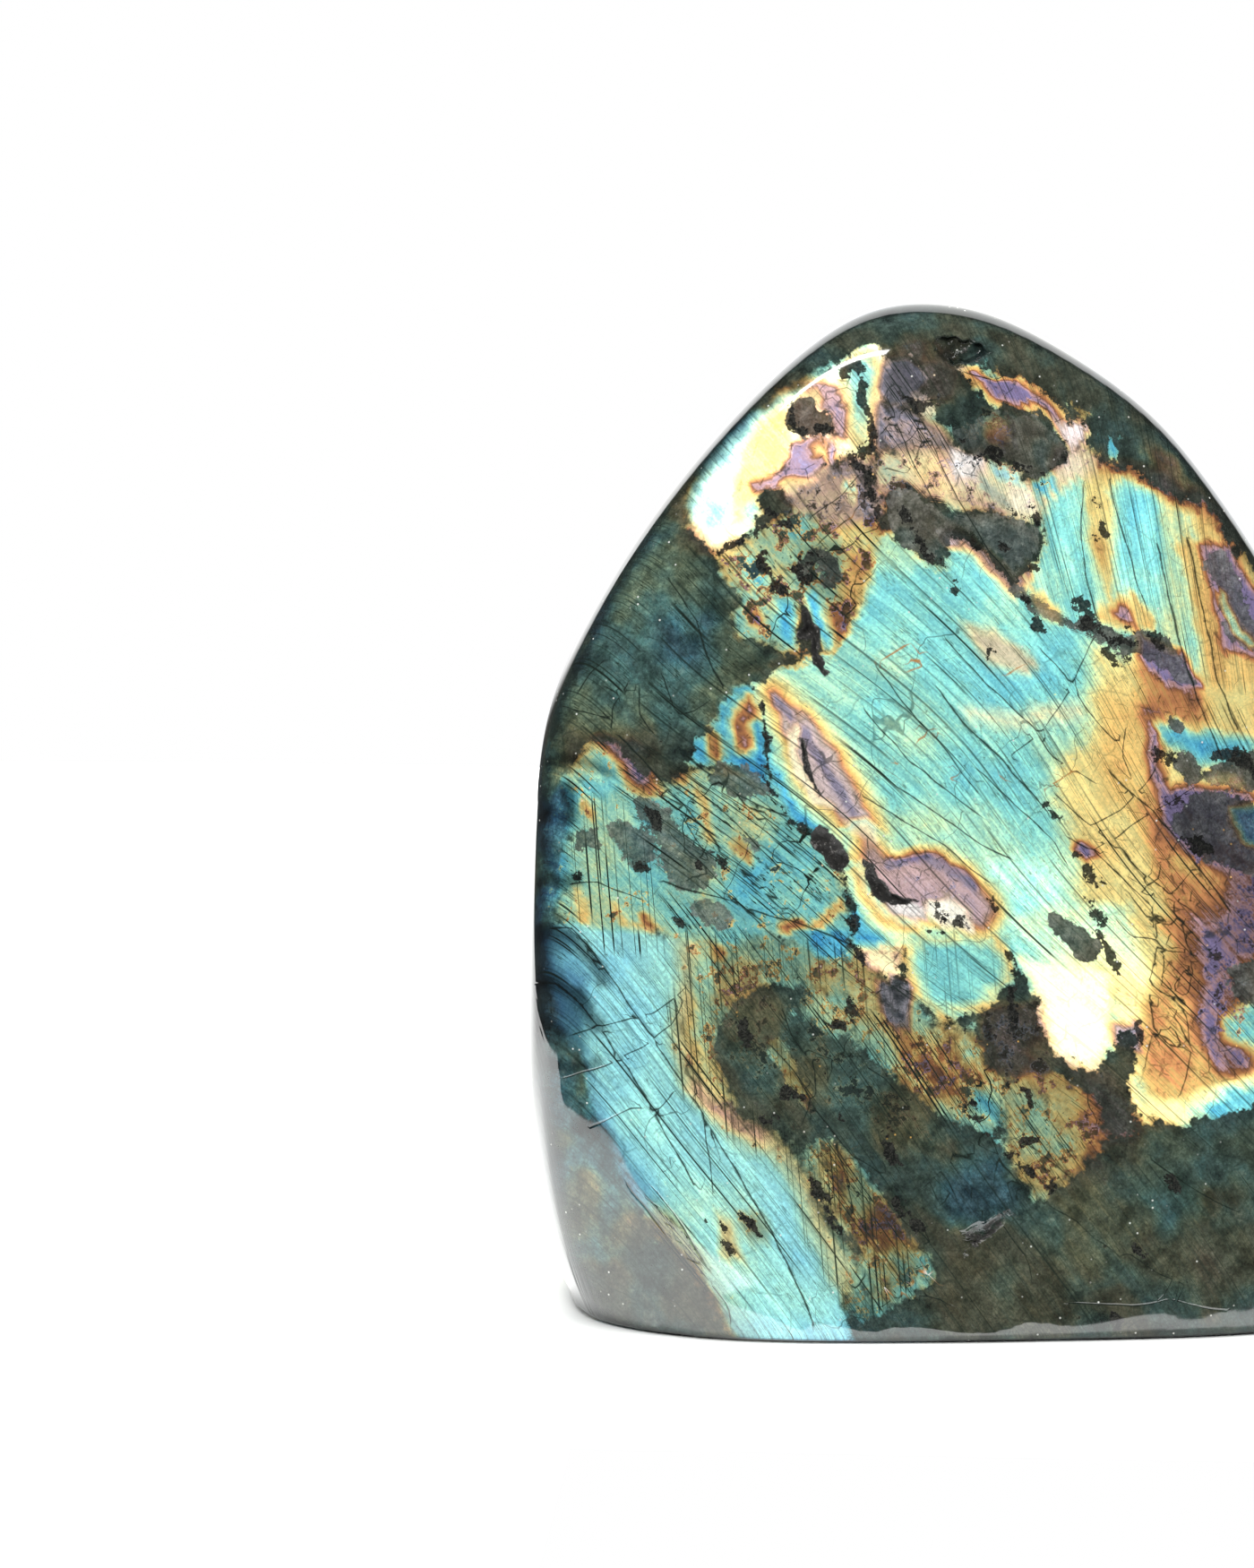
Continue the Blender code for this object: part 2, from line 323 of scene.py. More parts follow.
def paint_left(p):
    """The turquoise field with long cleavage lines at the middle left, and the lobes above it."""
    p.flash(((-56, 84), (-52, 88), (-48, 87), (-45, 83), (-40, 82), (-36, 84), (-30, 84), (-25, 82),
             (-22, 77.5), (-18, 73), (-15, 69), (-14, 62), (-13, 57), (-18, 56), (-24, 60), (-32, 58),
             (-38, 57), (-42, 60), (-48, 56), (-56, 56), (-60, 66), (-59, 76)), hue=0.5, glow=0.68, spots=0.5,
            patchy=0.7, edge=0.8, lines=2.0, fringe=0.4, mottle=1.3)
    p.dull(((-68, 56), (-59, 58), (-56.8, 62), (-55.8, 70), (-55.4, 78), (-56, 84), (-60, 92), (-70, 92)), 2,
           veil=1.1, hue=0.36, lines=0.6)
    p.tint(((-55, 80), (-50, 86), (-47, 83), (-49, 80)), 2, hue=0.42, glow=0.85)
    p.tint(((-53.6, 80), (-46, 79), (-42.4, 69), (-41, 57), (-50, 57), (-54.6, 62), (-54.6, 72)), 3, hue=0.54,
           comb=1.8, lines=0.5, patchy=0.6, glow=0.72)
    p.tint(((-34, 66), (-22, 78), (-17, 70), (-18, 62), (-26, 62)), 3, glow=0.84, hue=0.46, patchy=0.45)
    p.tint(((-34, 78), (-24, 80), (-19, 73), (-24, 70), (-32, 74)), 3, hue=0.54, glow=0.66)
    p.tint(((-52.6, 88.6), (-50.5, 89.6), (-47, 87.4), (-44, 84.4), (-40.6, 80.8), (-43, 79.4), (-46.4, 80.6),
            (-47.6, 83.6), (-50, 86.4)), 1, hue=((0, 0.70), (0.8, 0.79), (2.0, 0.92)), glow=0.62, patchy=0.6)
    for spot, width, hue, glow in (
            (((-52.8, 79), (-52, 77.4)), 1.6, 0.8, 0.75),
            (((-54, 66), (-53, 62)), 1.8, 0.68, 0.8),
            (((-48.6, 63.6), (-47, 61)), 1.5, 0.74, 0.8),
            (((-44.2, 62.6), (-43.4, 60)), 1.3, 0.88, 0.5),
            (((-35.9, 80.4), (-35, 77), (-34.6, 73.6)), 1.7, 0.76, 0.75),
            (((-19.4, 61), (-15.4, 63.6)), 1.8, 0.8, 0.8),
            (((-23.6, 60.8), (-21.6, 61.2)), 1.8, 0.9, 0.7),
            (((-37, 58.4), (-33, 57)), 2.2, 0.87, 0.45),
            (((-45.4, 60), (-44.6, 59)), 1.6, 0.74, 0.7),
            (((-30, 73), (-29, 71)), 2.0, 0.78, 0.5),
            (((-46, 88), (-44, 87)), 1.4, 0.7, 0.6),
            (((-40, 82.6), (-38.6, 82)), 1.6, 0.72, 0.7)):
        p.tint(spot, 1.2, width, hue=hue, glow=glow, patchy=0.6)
    p.flash(((-19.6, 60.6), (-14.5, 60), (-13.5, 56), (-18, 55.6), (-20, 58)), hue=0.34, glow=0.8, fringe=0.2)
    for shape in (
            ((-34.8, 82.6), (-33, 84.6), (-29.5, 84.6), (-27, 83), (-26.3, 81), (-28.5, 79.6), (-31.5, 80.4)),
            ((-50, 76), (-46.5, 76.2), (-43.6, 74.6), (-42.4, 71.6), (-43.6, 69), (-46, 69.8), (-48.4, 72)),
            ((-54.6, 75), (-51, 75.6), (-50.6, 72.4), (-53.6, 71.8)),
            ((-46.4, 80.6), (-43, 79.6), (-39.6, 76.4), (-36, 73), (-33.6, 71.6), (-33.2, 68.4),
             (-35.2, 65.8), (-38.6, 66), (-41.2, 68.4), (-42.4, 73), (-45, 77)),
            ((-29.6, 73.8), (-27.6, 74.4), (-26.6, 72.6), (-28.6, 71.6)),
            ((-37.4, 64.4), (-34.4, 65.4), (-31.4, 62.6), (-33, 60.4), (-36, 61.6))):
        p.grey(shape, veil=0.3, spots=0.4)
    # The lobes on top: blue skin, orange and violet cores
    p.flash(((-37.6, 85), (-36.5, 88), (-33.6, 90.2), (-33.2, 93.2), (-31, 96), (-28, 96.9), (-26.8, 95),
             (-26.5, 88), (-25.6, 80.5), (-30, 84.4), (-34, 84.6)),
            hue=((0, 0.28), (1.5, 0.36), (3.5, 0.5)), glow=0.8, fringe=0.1, patchy=0.3)
    p.tint(((-28.4, 93.8), (-30, 90.6), (-29.6, 87.4)), 0.9, width=3.2,
           hue=((0, 0.68), (0.6, 0.78), (1.1, 0.86), (1.6, 0.95)), glow=0.75)
    p.tint(((-34.4, 88.6), (-33.4, 85.8)), 0.9, width=2.6, hue=((0, 0.7), (0.8, 0.82), (1.5, 0.93)), glow=0.5)
    p.dark(((-44.8, 70.2), (-43.6, 69.2)), ((-34.2, 72), (-32.8, 70.8)), ((-39.8, 62.9), (-38.2, 61.4)),
           ((-54.2, 68.6), (-54.1, 67.8)), ((-44, 78), (-42.6, 77.4), (-42, 75)), ((-36.6, 70.3), (-36, 70)),
           width=1.3)
    p.tint(((-33, 95.6), (-31, 98.2), (-26.6, 98.4), (-24.6, 103), (-27, 102), (-31, 100)), 2, shade=0.4)


def paint_lower_left(p):
    """The long turquoise band that runs down to the foot."""
    p.flash(((-62, 58), (-56, 61.5), (-48, 60), (-42, 60), (-36.5, 58), (-37, 52), (-38.5, 46), (-37.5, 41),
             (-36, 37), (-32.5, 34.5), (-29, 31), (-25, 30), (-22.5, 27), (-20, 23), (-18.5, 18), (-16, 15),
             (-13.5, 12), (-15, 8), (-14.5, 3), (-12, -3), (-28, -3), (-32.5, 4), (-36.5, 11), (-41, 15.5),
             (-44, 19), (-47, 23), (-49, 28), (-50.6, 31), (-52, 36), (-54, 42), (-58, 47), (-63, 50)),
            hue=0.435, glow=1.04, fringe=0.0, spots=0.15, patchy=0.1, edge=1.0, mottle=0.62, pale=0.13)
    p.tint(((-66, 58), (-61, 46), (-58, 42), (-56, 36), (-54, 31), (-51, 27), (-48, 22), (-45, 18)), 5,
           width=8, hue=0.34, glow=0.42, patchy=0.5, edge=1.6)
    p.tint(((-63, 62), (-58, 62), (-55, 59), (-53.4, 54), (-52.4, 49), (-52.4, 44), (-53.6, 38), (-57, 36),
            (-63, 46)), 3, hue=0.37, glow=0.3, patchy=0.35, edge=1.6, mottle=0.6, pale=0.1)
    p.tint(((-58, 57), (-54.6, 57), (-52, 53), (-55, 52)), 2, hue=0.38, glow=0.62)
    p.dull(((-70, 62), (-59.6, 60), (-58.6, 54), (-57.6, 48), (-55.6, 42), (-52.6, 36), (-50.6, 31),
            (-48, 26), (-45, 20), (-48, 12), (-62, 10), (-66, 28)), 2, veil=0.4, hue=0.4)
    p.tint(((-45, 18), (-41, 14), (-36.5, 10), (-32.5, 4), (-28, -3)), 3, width=6, hue=0.44, glow=0.62,
           edge=1.6, patchy=0.5)
    p.tint(((-37, 58), (-37.5, 50), (-38, 45), (-36.5, 38), (-32.5, 34), (-28, 30.5), (-24, 29), (-20.5, 24),
            (-18.5, 17), (-15, 10)), 3, width=6, hue=((-1, 0.53), (1, 0.58), (3, 0.66)), glow=0.66,
           fringe=0.2, edge=1.6, comb=1.3, patchy=0.6, spots=0.6)
    p.tint(((-36.5, 37), (-34, 34.4), (-30, 31.6), (-27, 30.4)), 1.4, width=3.0,
           hue=((0, 0.69), (1.0, 0.79), (1.6, 0.86)), glow=0.95, pale=0.25, patchy=0.4)
    p.tint(((-41, 26), (-30, 22), (-24, 14), (-20, 4), (-34, 4), (-40, 14)), 5, hue=0.5)
    p.tint(((-43.4, 20.4), (-40, 18.6), (-34.6, 12), (-35.4, 8.6), (-39, 11), (-43, 16.4)), 1.8, hue=0.62,
           glow=0.36, lines=3.0)
    p.tint(((-30.4, 18.6), (-28, 19.6), (-26, 17.6), (-25.4, 15), (-28, 14), (-30, 16)), 1.6, hue=0.6,
           glow=0.4, spots=0.9, patchy=0.8)
    p.tint(((-34, 18.6), (-31.4, 18), (-29.8, 12), (-32.6, 12)), 1.6, hue=0.72, glow=0.6)
    p.dark(((-29, 17.6), (-28, 16.4)), ((-27.4, 15.6), (-26.8, 15)),
           ((-32.9, 17.4), (-32.4, 15), (-31.2, 12.4)), ((-36, 17.6), (-35.2, 16.6)), width=1.1)
    # Dark arcs where the cleavage bends over the shoulder
    for arc, width in (
            (((-62, 58), (-59, 60.4), (-56, 60), (-53, 57), (-50.4, 53)), 2.2),
            (((-62, 50), (-60, 52.4), (-57.4, 52.8), (-54.4, 51), (-51, 46.4)), 2.2),
            (((-62, 44), (-58.6, 46.8), (-56, 45)), 2.0),
            (((-58, 41), (-54, 40.4), (-51, 40.6)), 1.6),
            (((-61, 85), (-57, 85.6), (-53, 85), (-49, 83.4)), 1.6),
            (((-61, 75), (-58.6, 77.6), (-55.6, 76.6)), 1.8),
            (((-55.6, 81), (-55.2, 77.6)), 2.4),
            (((-62, 66), (-58.4, 68), (-54, 67.4)), 1.8),
            (((-54.4, 31.6), (-51.6, 31), (-49.4, 28.4)), 2.0)):
        p.tint(arc, 1.4, width, shade=0.3)


def paint_brown_ground(p):
    """The speckled brown, gold and green ground between the turquoise fields and the dull foot."""
    p.flash(((-38, 58), (-33, 60), (-27, 59), (-21, 59), (-14, 58), (-9, 54.5), (-11, 50.4), (-16, 50.5),
             (-21, 52.5), (-27, 52.5), (-31, 50.5), (-33, 47), (-34, 43), (-32.6, 38), (-31, 34.5), (-37, 36),
             (-38.5, 44), (-38, 50)), hue=0.6, glow=0.46, spots=0.8, comb=1.1, patchy=0.95, edge=1.6,
            mottle=1.15, fringe=0.3, lines=1.8)
    p.tint(((-15, 50), (-9, 53.6), (-7, 50), (-12, 48)), 2, hue=0.74)
    p.flash(((-15, 50), (-12, 52.5), (-8, 53), (-5, 50.5), (-3, 46.5), (1, 45.5), (4.5, 45.5), (6, 41),
             (9, 38), (10, 34), (6, 31), (2, 32), (-1, 34), (-5, 36.5), (-9, 40), (-13, 44), (-18, 46),
             (-22, 48), (-20, 51)), hue=((0, 0.56), (2, 0.61), (4, 0.66)), glow=0.6, spots=0.8, patchy=0.8,
            edge=1.6, mottle=0.9, lines=2.2, comb=0.7)
    p.tint(((2, 44), (5, 43.6), (4.6, 40), (2.4, 40.4)), 1.2, hue=0.45, glow=0.7)
    p.tint(((2.6, 38), (6, 37), (9, 33.4), (6, 33), (3.4, 35)), 1.6, hue=0.4, glow=0.55)
    p.tint(((-8, 46), (-4, 45), (-3, 42), (-7, 43)), 1.6, hue=0.8, glow=0.5)
    p.flash(((8.5, 37), (11.5, 39.5), (16, 39.5), (19, 37.5), (22, 35.5), (23, 31), (21.5, 27), (20, 25),
             (17, 24), (15, 22), (13.5, 20.5), (12, 22.5), (10.5, 26), (8.5, 28), (9, 32)),
            hue=((0, 0.69), (1.5, 0.64), (3.5, 0.58)), glow=0.48, spots=0.8, patchy=0.85, edge=1.4,
            fringe=0.4, lines=2.2)
    p.tint(((15, 31), (19, 31), (19, 27), (15.6, 27.4)), 2, hue=0.5)
    p.tint(((21, 35), (22.6, 31), (21.4, 27)), 1.4, width=2.6, hue=0.78, glow=0.6)
    p.flash(((-20, 28), (-18, 30), (-14, 27), (-10, 22), (-6, 17), (-5, 12), (-9, 13), (-13, 15), (-16, 19),
             (-19, 24)), hue=0.61, glow=0.33, spots=0.9, patchy=1.0, edge=1.6, comb=1.2, mottle=0.9,
            lines=2.0)
    p.flash(((-13, 12), (-8, 13), (-3, 14), (-2, 9), (-6, 6), (-12, 3), (-15, 5)), hue=0.5, glow=0.42,
            comb=1.4, patchy=1.0, edge=1.6, spots=0.7, lines=1.6)
    p.flash(((-26.4, 44.6), (-24, 44), (-20, 37), (-19, 33), (-21, 35), (-24, 40)), hue=0.6, glow=0.3,
            patchy=1.0, edge=1.4, comb=1.2, spots=0.9)
    p.dull(((-9.6, 53.4), (-6, 53.4), (-5.2, 50), (-5.6, 46.5), (-7.5, 46), (-9.2, 49)), 1, veil=0.3, hue=1.0,
           pale=0.5)
    p.flash(((24, 29), (28, 29.5), (28.3, 31), (25, 30)), glow=0.5, hue=0.8)
    p.dark(((-29.6, 47.4), (-29.2, 44)), ((-13.8, 50.2), (-13.8, 48)), ((-24, 36.6), (-21.4, 36.4)),
           width=1.4)
    p.dark(((-26.6, 31.8), (-24.6, 33.4)), ((-16.4, 46.9), (-15, 46.2)),
           ((-19, 23.4), (-17.4, 19.6), (-15.6, 16)), ((-18, 20.6), (-14, 21.6), (-11.8, 21.4)),
           ((-10, 30.4), (-8.4, 28), (-6.8, 25.8)), ((-6.9, 20.6), (-5.2, 18.4), (-3.4, 16.2)),
           ((9.8, 51.6), (10, 48), (9.4, 44)), width=1.3)
    p.dark(((-15.2, 33), (-14.2, 32.4)), ((3.4, 45.6), (3.4, 43.4)), ((4, 35), (4.2, 32.4), (6, 30.8)),
           ((9, 27.4), (11.4, 26.4), (12.6, 24.6)), ((10, 40), (10, 36.4)), ((12.4, 36.6), (12.8, 34.6)),
           ((11, 29.6), (13.6, 29.4)), ((15.2, 22.8), (16.4, 22.8)), ((-17, 8.6), (-16.4, 8)),
           ((33, 23.6), (33.6, 22.8)), ((27.6, 14), (28.6, 13)), ((25.2, 4), (25.2, 2.6)), width=1.0)


def paint_main_field(p):
    """The great turquoise field, and the gold, orange and violet that it runs into on the right."""
    p.flash(((-27, 96.5), (-22.5, 99.5), (-19.5, 101), (-17.5, 101.5), (-15, 104), (-13.8, 107.5),
             (-12.5, 111), (-11, 115), (-10.5, 119), (-8.5, 119.5), (-7.3, 117.5), (-5, 116), (-2.5, 114),
             (0, 113.6), (1, 117), (3, 117.5), (5, 115.5), (7, 113.5), (10, 111), (12, 112.5), (14, 115),
             (14.5, 118), (14.5, 121), (14, 125), (16, 128), (18.5, 128.8), (22, 128.5), (26, 128), (29, 127),
             (32, 125), (36, 123.3), (39, 121.5), (41, 119), (43, 116), (46, 113), (60, 100), (60, 34),
             (46, 36), (45.5, 33.5), (41, 33.5), (38, 32.5), (36, 32.2), (34.5, 31), (33, 32), (30, 32.5),
             (28.3, 33), (27.7, 36), (27.2, 40), (28, 43), (28.7, 46), (26.5, 46.5), (24.5, 43), (22.5, 40.2),
             (19, 40.3), (16, 42.5), (14.5, 46), (13.8, 50), (12, 53.5), (10, 55), (8, 50), (6, 48.5),
             (2, 47), (-1, 47), (-4, 49.5), (-5.5, 53), (-6, 57.5), (-12, 57), (-13.5, 60), (-14, 66),
             (-15, 69.5), (-17, 72.5), (-19, 74.5), (-21.5, 76), (-24.5, 80), (-25.7, 85), (-26, 88.5),
             (-26.8, 92)), hue=0.49, glow=1.1, spots=0.06, veil=0.1, mottle=0.8)
    p.tint(((-13, 120), (-8, 120), (-3, 115), (-6, 110), (-13, 108)), 3, hue=0.6, spots=0.4)
    p.tint(((-10, 113), (0, 112), (10, 108), (20, 104), (20, 96), (8, 94), (-6, 104), (-14, 106)), 6,
           hue=0.455)
    p.tint(((-4, 80), (8, 78), (16, 74), (20, 66), (12, 60), (4, 70), (-6, 76)), 5, hue=0.545, glow=1.16)
    p.tint(((6, 71), (18, 71), (19, 60), (12, 58), (6, 64)), 5, hue=0.54, glow=1.75)
    p.tint(((3, 105), (7, 104.6), (14, 99.6), (12, 97.6), (6, 100)), 2, hue=0.7, glow=0.75, pale=0.5)
    p.tint(((2, 93.6), (10, 92.4), (20, 93.4), (20, 91.6), (10, 90), (3, 91)), 2, hue=0.62, pale=0.3)
    p.tint(((13, 87), (20, 88), (19, 84), (14, 84)), 2, hue=0.5, glow=0.8)
    # Gold to the right, then orange, brown and violet
    p.tint(((21, 102), (21.5, 97), (21, 91), (17, 84), (15.5, 79), (18, 74), (19.5, 70), (20, 62), (24, 57),
            (26, 40), (60, 30), (60, 92), (40, 97), (30, 101)), 6, hue=0.7, glow=1.06, fringe=0.3)
    p.tint(((22, 96), (26, 97), (29, 90), (28, 78), (23, 79)), 4, hue=0.755, glow=1.1)
    p.tint(((27.5, 99), (31, 99.5), (37, 97), (39, 91), (36, 90), (33, 91), (31, 86), (30.5, 80), (34, 73),
            (42, 66), (44, 60), (44, 40), (40, 34), (31, 33), (30, 40), (31, 50), (31, 62), (31, 70),
            (29, 78), (29.5, 86), (28, 93)), 4, hue=0.815, glow=0.92, mottle=2.0)
    p.tint(((28.4, 98), (36, 97), (38, 92), (31, 92)), 2.4, hue=0.86, glow=0.8)
    p.tint(((31, 74), (35, 74), (40, 68), (40, 60), (35, 54), (32, 60)), 3, hue=0.85, glow=0.92, mottle=2.0,
           lines=1.4)
    p.tint(((33, 58), (37, 58), (38, 46), (36, 40), (32, 44), (31.6, 52)), 3, hue=0.86, glow=0.76, mottle=2.2,
           lines=1.4)
    p.tint(((30, 93), (31.5, 92), (31.5, 87), (32.5, 82), (34.5, 78), (33, 76), (30.5, 81), (29.5, 87)), 2,
           hue=1.0, glow=0.85)
    p.tint(((37, 62), (42, 62), (46, 50), (46, 40), (42, 38), (38, 44), (36.5, 54)), 7, hue=0.935, glow=0.52,
           spots=0.7, mottle=2.4, patchy=0.55)
    p.tint(((41, 69), (48, 69), (48, 56), (42, 56)), 5, hue=0.97, glow=0.42, spots=0.7, mottle=2.4,
           patchy=0.6)
    p.tint(((38.6, 58), (39.6, 52), (39, 45), (40.4, 40)), 1.6, width=2.0, hue=1.0, glow=0.75)
    p.tint(((20, 77), (24, 76), (32, 66), (33, 58), (25, 58), (21, 66)), 4, hue=0.71, glow=1.06)
    p.tint(((22, 64), (27, 64), (28, 58), (24, 57)), 3, hue=0.6, glow=1.1)
    p.tint(((29, 50), (36, 50), (38, 42), (38, 36), (30, 34), (29, 42)), 3, hue=0.79, glow=1.12)
    p.tint(((26, 40), (28.5, 34), (33, 33.5), (36, 34), (40, 36), (46, 38)), 1.6, width=3.0, hue=0.68,
           glow=1.7, fringe=0.2)
    p.tint(((38, 34), (42, 36.5), (50, 38), (50, 32), (40, 32)), 1.2, hue=0.41, glow=1.15, fringe=0.1)
    p.tint(((41, 48), (47, 50), (47, 42), (42, 44)), 3, hue=0.43, glow=0.9)
    p.dark(((15.4, 78.6), (16.2, 77), (17.4, 76.2)), ((20.8, 69.4), (21.4, 67.8), (23, 67.6)),
           ((21.4, 64.6), (22.8, 62), (24, 58), (25.4, 54.4)), ((28.3, 46.4), (28.2, 43)),
           ((6.8, 101.4), (6.5, 99.8)), ((1, 112.4), (1.6, 110.6)), ((11.6, 109), (12.8, 106.4), (13.8, 104)),
           ((9.6, 56.8), (10.4, 54)), ((6.8, 64.6), (7.4, 63.8)), ((18.8, 71.8), (21.6, 71.2)),
           ((22.4, 123.8), (23.4, 123)), ((22.2, 118.4), (23.4, 118.8)), ((19.6, 108.6), (21.2, 106.8)),
           width=1.1)


def paint_right_inclusions(p):
    """Blue, grey and black patches let into the gold on the right."""
    p.tint(((30.8, 91.5), (32.4, 90.4), (34, 92.2), (36, 89.4), (38.6, 90), (41, 89.5), (46, 88.4), (46, 86),
            (42, 84), (40, 84.6), (37, 84.6), (34, 86.5), (31.5, 88)), 1,
           hue=((0, 0.62), (0.8, 0.46), (2.2, 0.34)), glow=0.9)
    p.grey(((32.6, 91.6), (34, 91.8), (35.8, 90), (34.8, 89), (33.2, 89.6)))
    p.grey(((32.5, 86.5), (36, 86), (38, 84), (40.5, 85), (43, 86.6), (50, 87), (50, 80.5), (43, 80.5),
            (38.5, 82), (35, 82.5)), spots=1.0)
    p.tint(((37, 81.6), (40, 80.4), (44, 80.8), (43, 82.4), (39, 82.8)), 1, hue=0.68, veil=1.0)
    p.grey(((33.3, 77), (36, 79.8), (40, 80.2), (44, 79.6), (50, 77), (50, 66), (44, 69), (41.5, 70),
            (38.5, 70), (36, 72.5), (34, 75)))
    p.tint(((31, 80), (35, 82), (50, 79), (50, 66), (40, 69), (35, 72), (32, 76)), 2.5, hue=1.0, veil=0.35,
           shade=0.62, spots=0.8)
    p.tint(((42, 78), (47, 79), (47, 72), (44, 73)), 2, hue=0.24, veil=0.6, shade=0.9)
    p.dark(((41, 86), (44, 85.4), (46, 83)), ((36, 74), (38.6, 72.4)), ((31.6, 86.2), (33, 86)), width=2.2)
    p.grey(((41.5, 55), (47, 56.6), (47, 48.6), (42.4, 49.4)))
    p.grey(((14.8, 63.4), (17, 62.8), (19.5, 61.4), (21.5, 60.5), (23, 58.3), (22.3, 56), (20, 55.2),
            (18, 57.6), (16.4, 60), (15.2, 61.6)), veil=0.2)
    p.tint(((18.5, 73), (20.5, 73.5), (22.5, 71.5), (20.5, 70.5)), 1, hue=1.0, glow=0.8)


def paint_upper_right(p):
    """Turquoise, gold and yellow green above the dark vein, with a violet-grey inclusion at the edge."""
    p.tint(((36, 124), (41, 120), (46, 114), (60, 100), (60, 88), (41, 90), (38, 97), (36.5, 104),
            (36.5, 113)), 3, hue=0.745, glow=0.92)
    p.tint(((31, 125), (35, 123.5), (36.5, 118), (36.2, 110), (35.5, 100), (33, 99), (31.5, 104), (32, 114)),
           2.5, hue=0.62, glow=0.95)
    p.tint(((35.4, 117), (37, 112), (38.6, 104), (40.4, 97)), 1.4, width=2.4, hue=0.77)
    p.tint(((37.5, 97), (41, 96), (45, 96), (45, 90), (40, 90)), 3, hue=0.7, glow=0.9)
    p.tint(((27, 124), (30, 124.5), (31.3, 120), (31, 116), (28.6, 117), (27.2, 120.5)), 2.5, hue=0.4)
    p.tint(((17, 126), (20, 126), (20, 112), (16, 112)), 2.5, hue=0.5, glow=1.3)
    p.tint(((25, 122), (31, 122), (32, 112), (30, 108), (25, 110)), 3, hue=0.49, glow=1.3)
    p.tint(((20, 128), (25, 127.5), (24.8, 121), (24.8, 113), (24.2, 109), (23.2, 109), (22, 113),
            (21, 118), (20.4, 123)), 2.4, hue=0.71, glow=0.97)
    p.tint(((22, 118.6), (23.4, 118), (24, 113.4), (23, 113)), 1.8, hue=0.8, glow=0.85)
    p.tint(((17, 129), (26, 128.2), (30, 127), (34, 124.5), (38, 122.2), (42, 119), (47, 113)), 2, width=3.0,
           hue=0.79, glow=0.65)
    p.grey(((37.7, 114.6), (39, 116), (41, 116.3), (42.6, 113), (44, 109), (45.6, 105), (48, 101),
            (44.5, 101.2), (41.6, 103), (40.6, 107), (40.2, 110.5), (38.8, 112.6)))
    p.tint(((37, 117), (42, 117), (48, 105), (48, 100), (41, 101), (39, 110)), 1.6, hue=1.0, veil=0.4,
           glow=0.8)
    p.tint(((40.8, 109.4), (41.6, 106.4), (43.4, 104), (45, 102.6)), 0.9, width=1.3, hue=0.6, veil=1.6)
    p.flash(((23.4, 132.6), (25.2, 132.8), (25.4, 130.5), (24.4, 129), (23.4, 130.6)), 0.8, hue=0.4, glow=0.9,
            fringe=0.3)
    p.flash(((18.6, 137.2), (20, 137.4), (21.5, 136), (20, 135.4)), 0.8, hue=0.5, glow=0.5)
    # The dark vein, the knot on it and the streak beyond
    p.grey(((10.4, 110.5), (13, 107.6), (17, 106.2), (20, 105.3), (22.5, 104.3)), 1, width=1.9)
    p.tint(((12, 110), (15, 109), (19, 106), (15, 105.5), (12.5, 107.5)), 1.2, hue=0.75, veil=0.6)
    p.flash(((22.4, 105.6), (23, 108), (25.5, 109.8), (28.4, 109.4), (30.4, 107.2), (30.6, 104.6),
             (28.4, 103.8), (25, 104.2)), 0.8,
            hue=((0, 0.80), (0.7, 0.72), (1.4, 0.66), (2.0, 0.9), (2.8, 1.0)), glow=1.0, fringe=0.3,
            spots=0.2)
    p.grey(((21.5, 105), (24, 103.2), (27.2, 102.3), (29.5, 103), (33, 101.6)), 1, width=2.3)
    p.grey(((28.4, 103), (31.5, 102.4), (34.5, 100.4), (37, 96.4), (34.5, 97), (31.5, 98.6), (29, 100.4)), 1)
    p.tint(((28, 104), (35, 101), (38, 96), (33, 96), (28, 100)), 1, hue=1.0, veil=0.5)
    p.dark(((20.4, 105.6), (22.4, 104.6), (24, 103.2), (27.4, 102.4)), ((26.8, 105.4), (27.6, 105)),
           ((29, 105), (30.4, 104)), ((31, 102.6), (32.6, 102.2)), ((17.6, 106.2), (20, 106)), width=0.95)
    p.dark(((24.2, 101.2), (26, 99.8)), width=1.6)


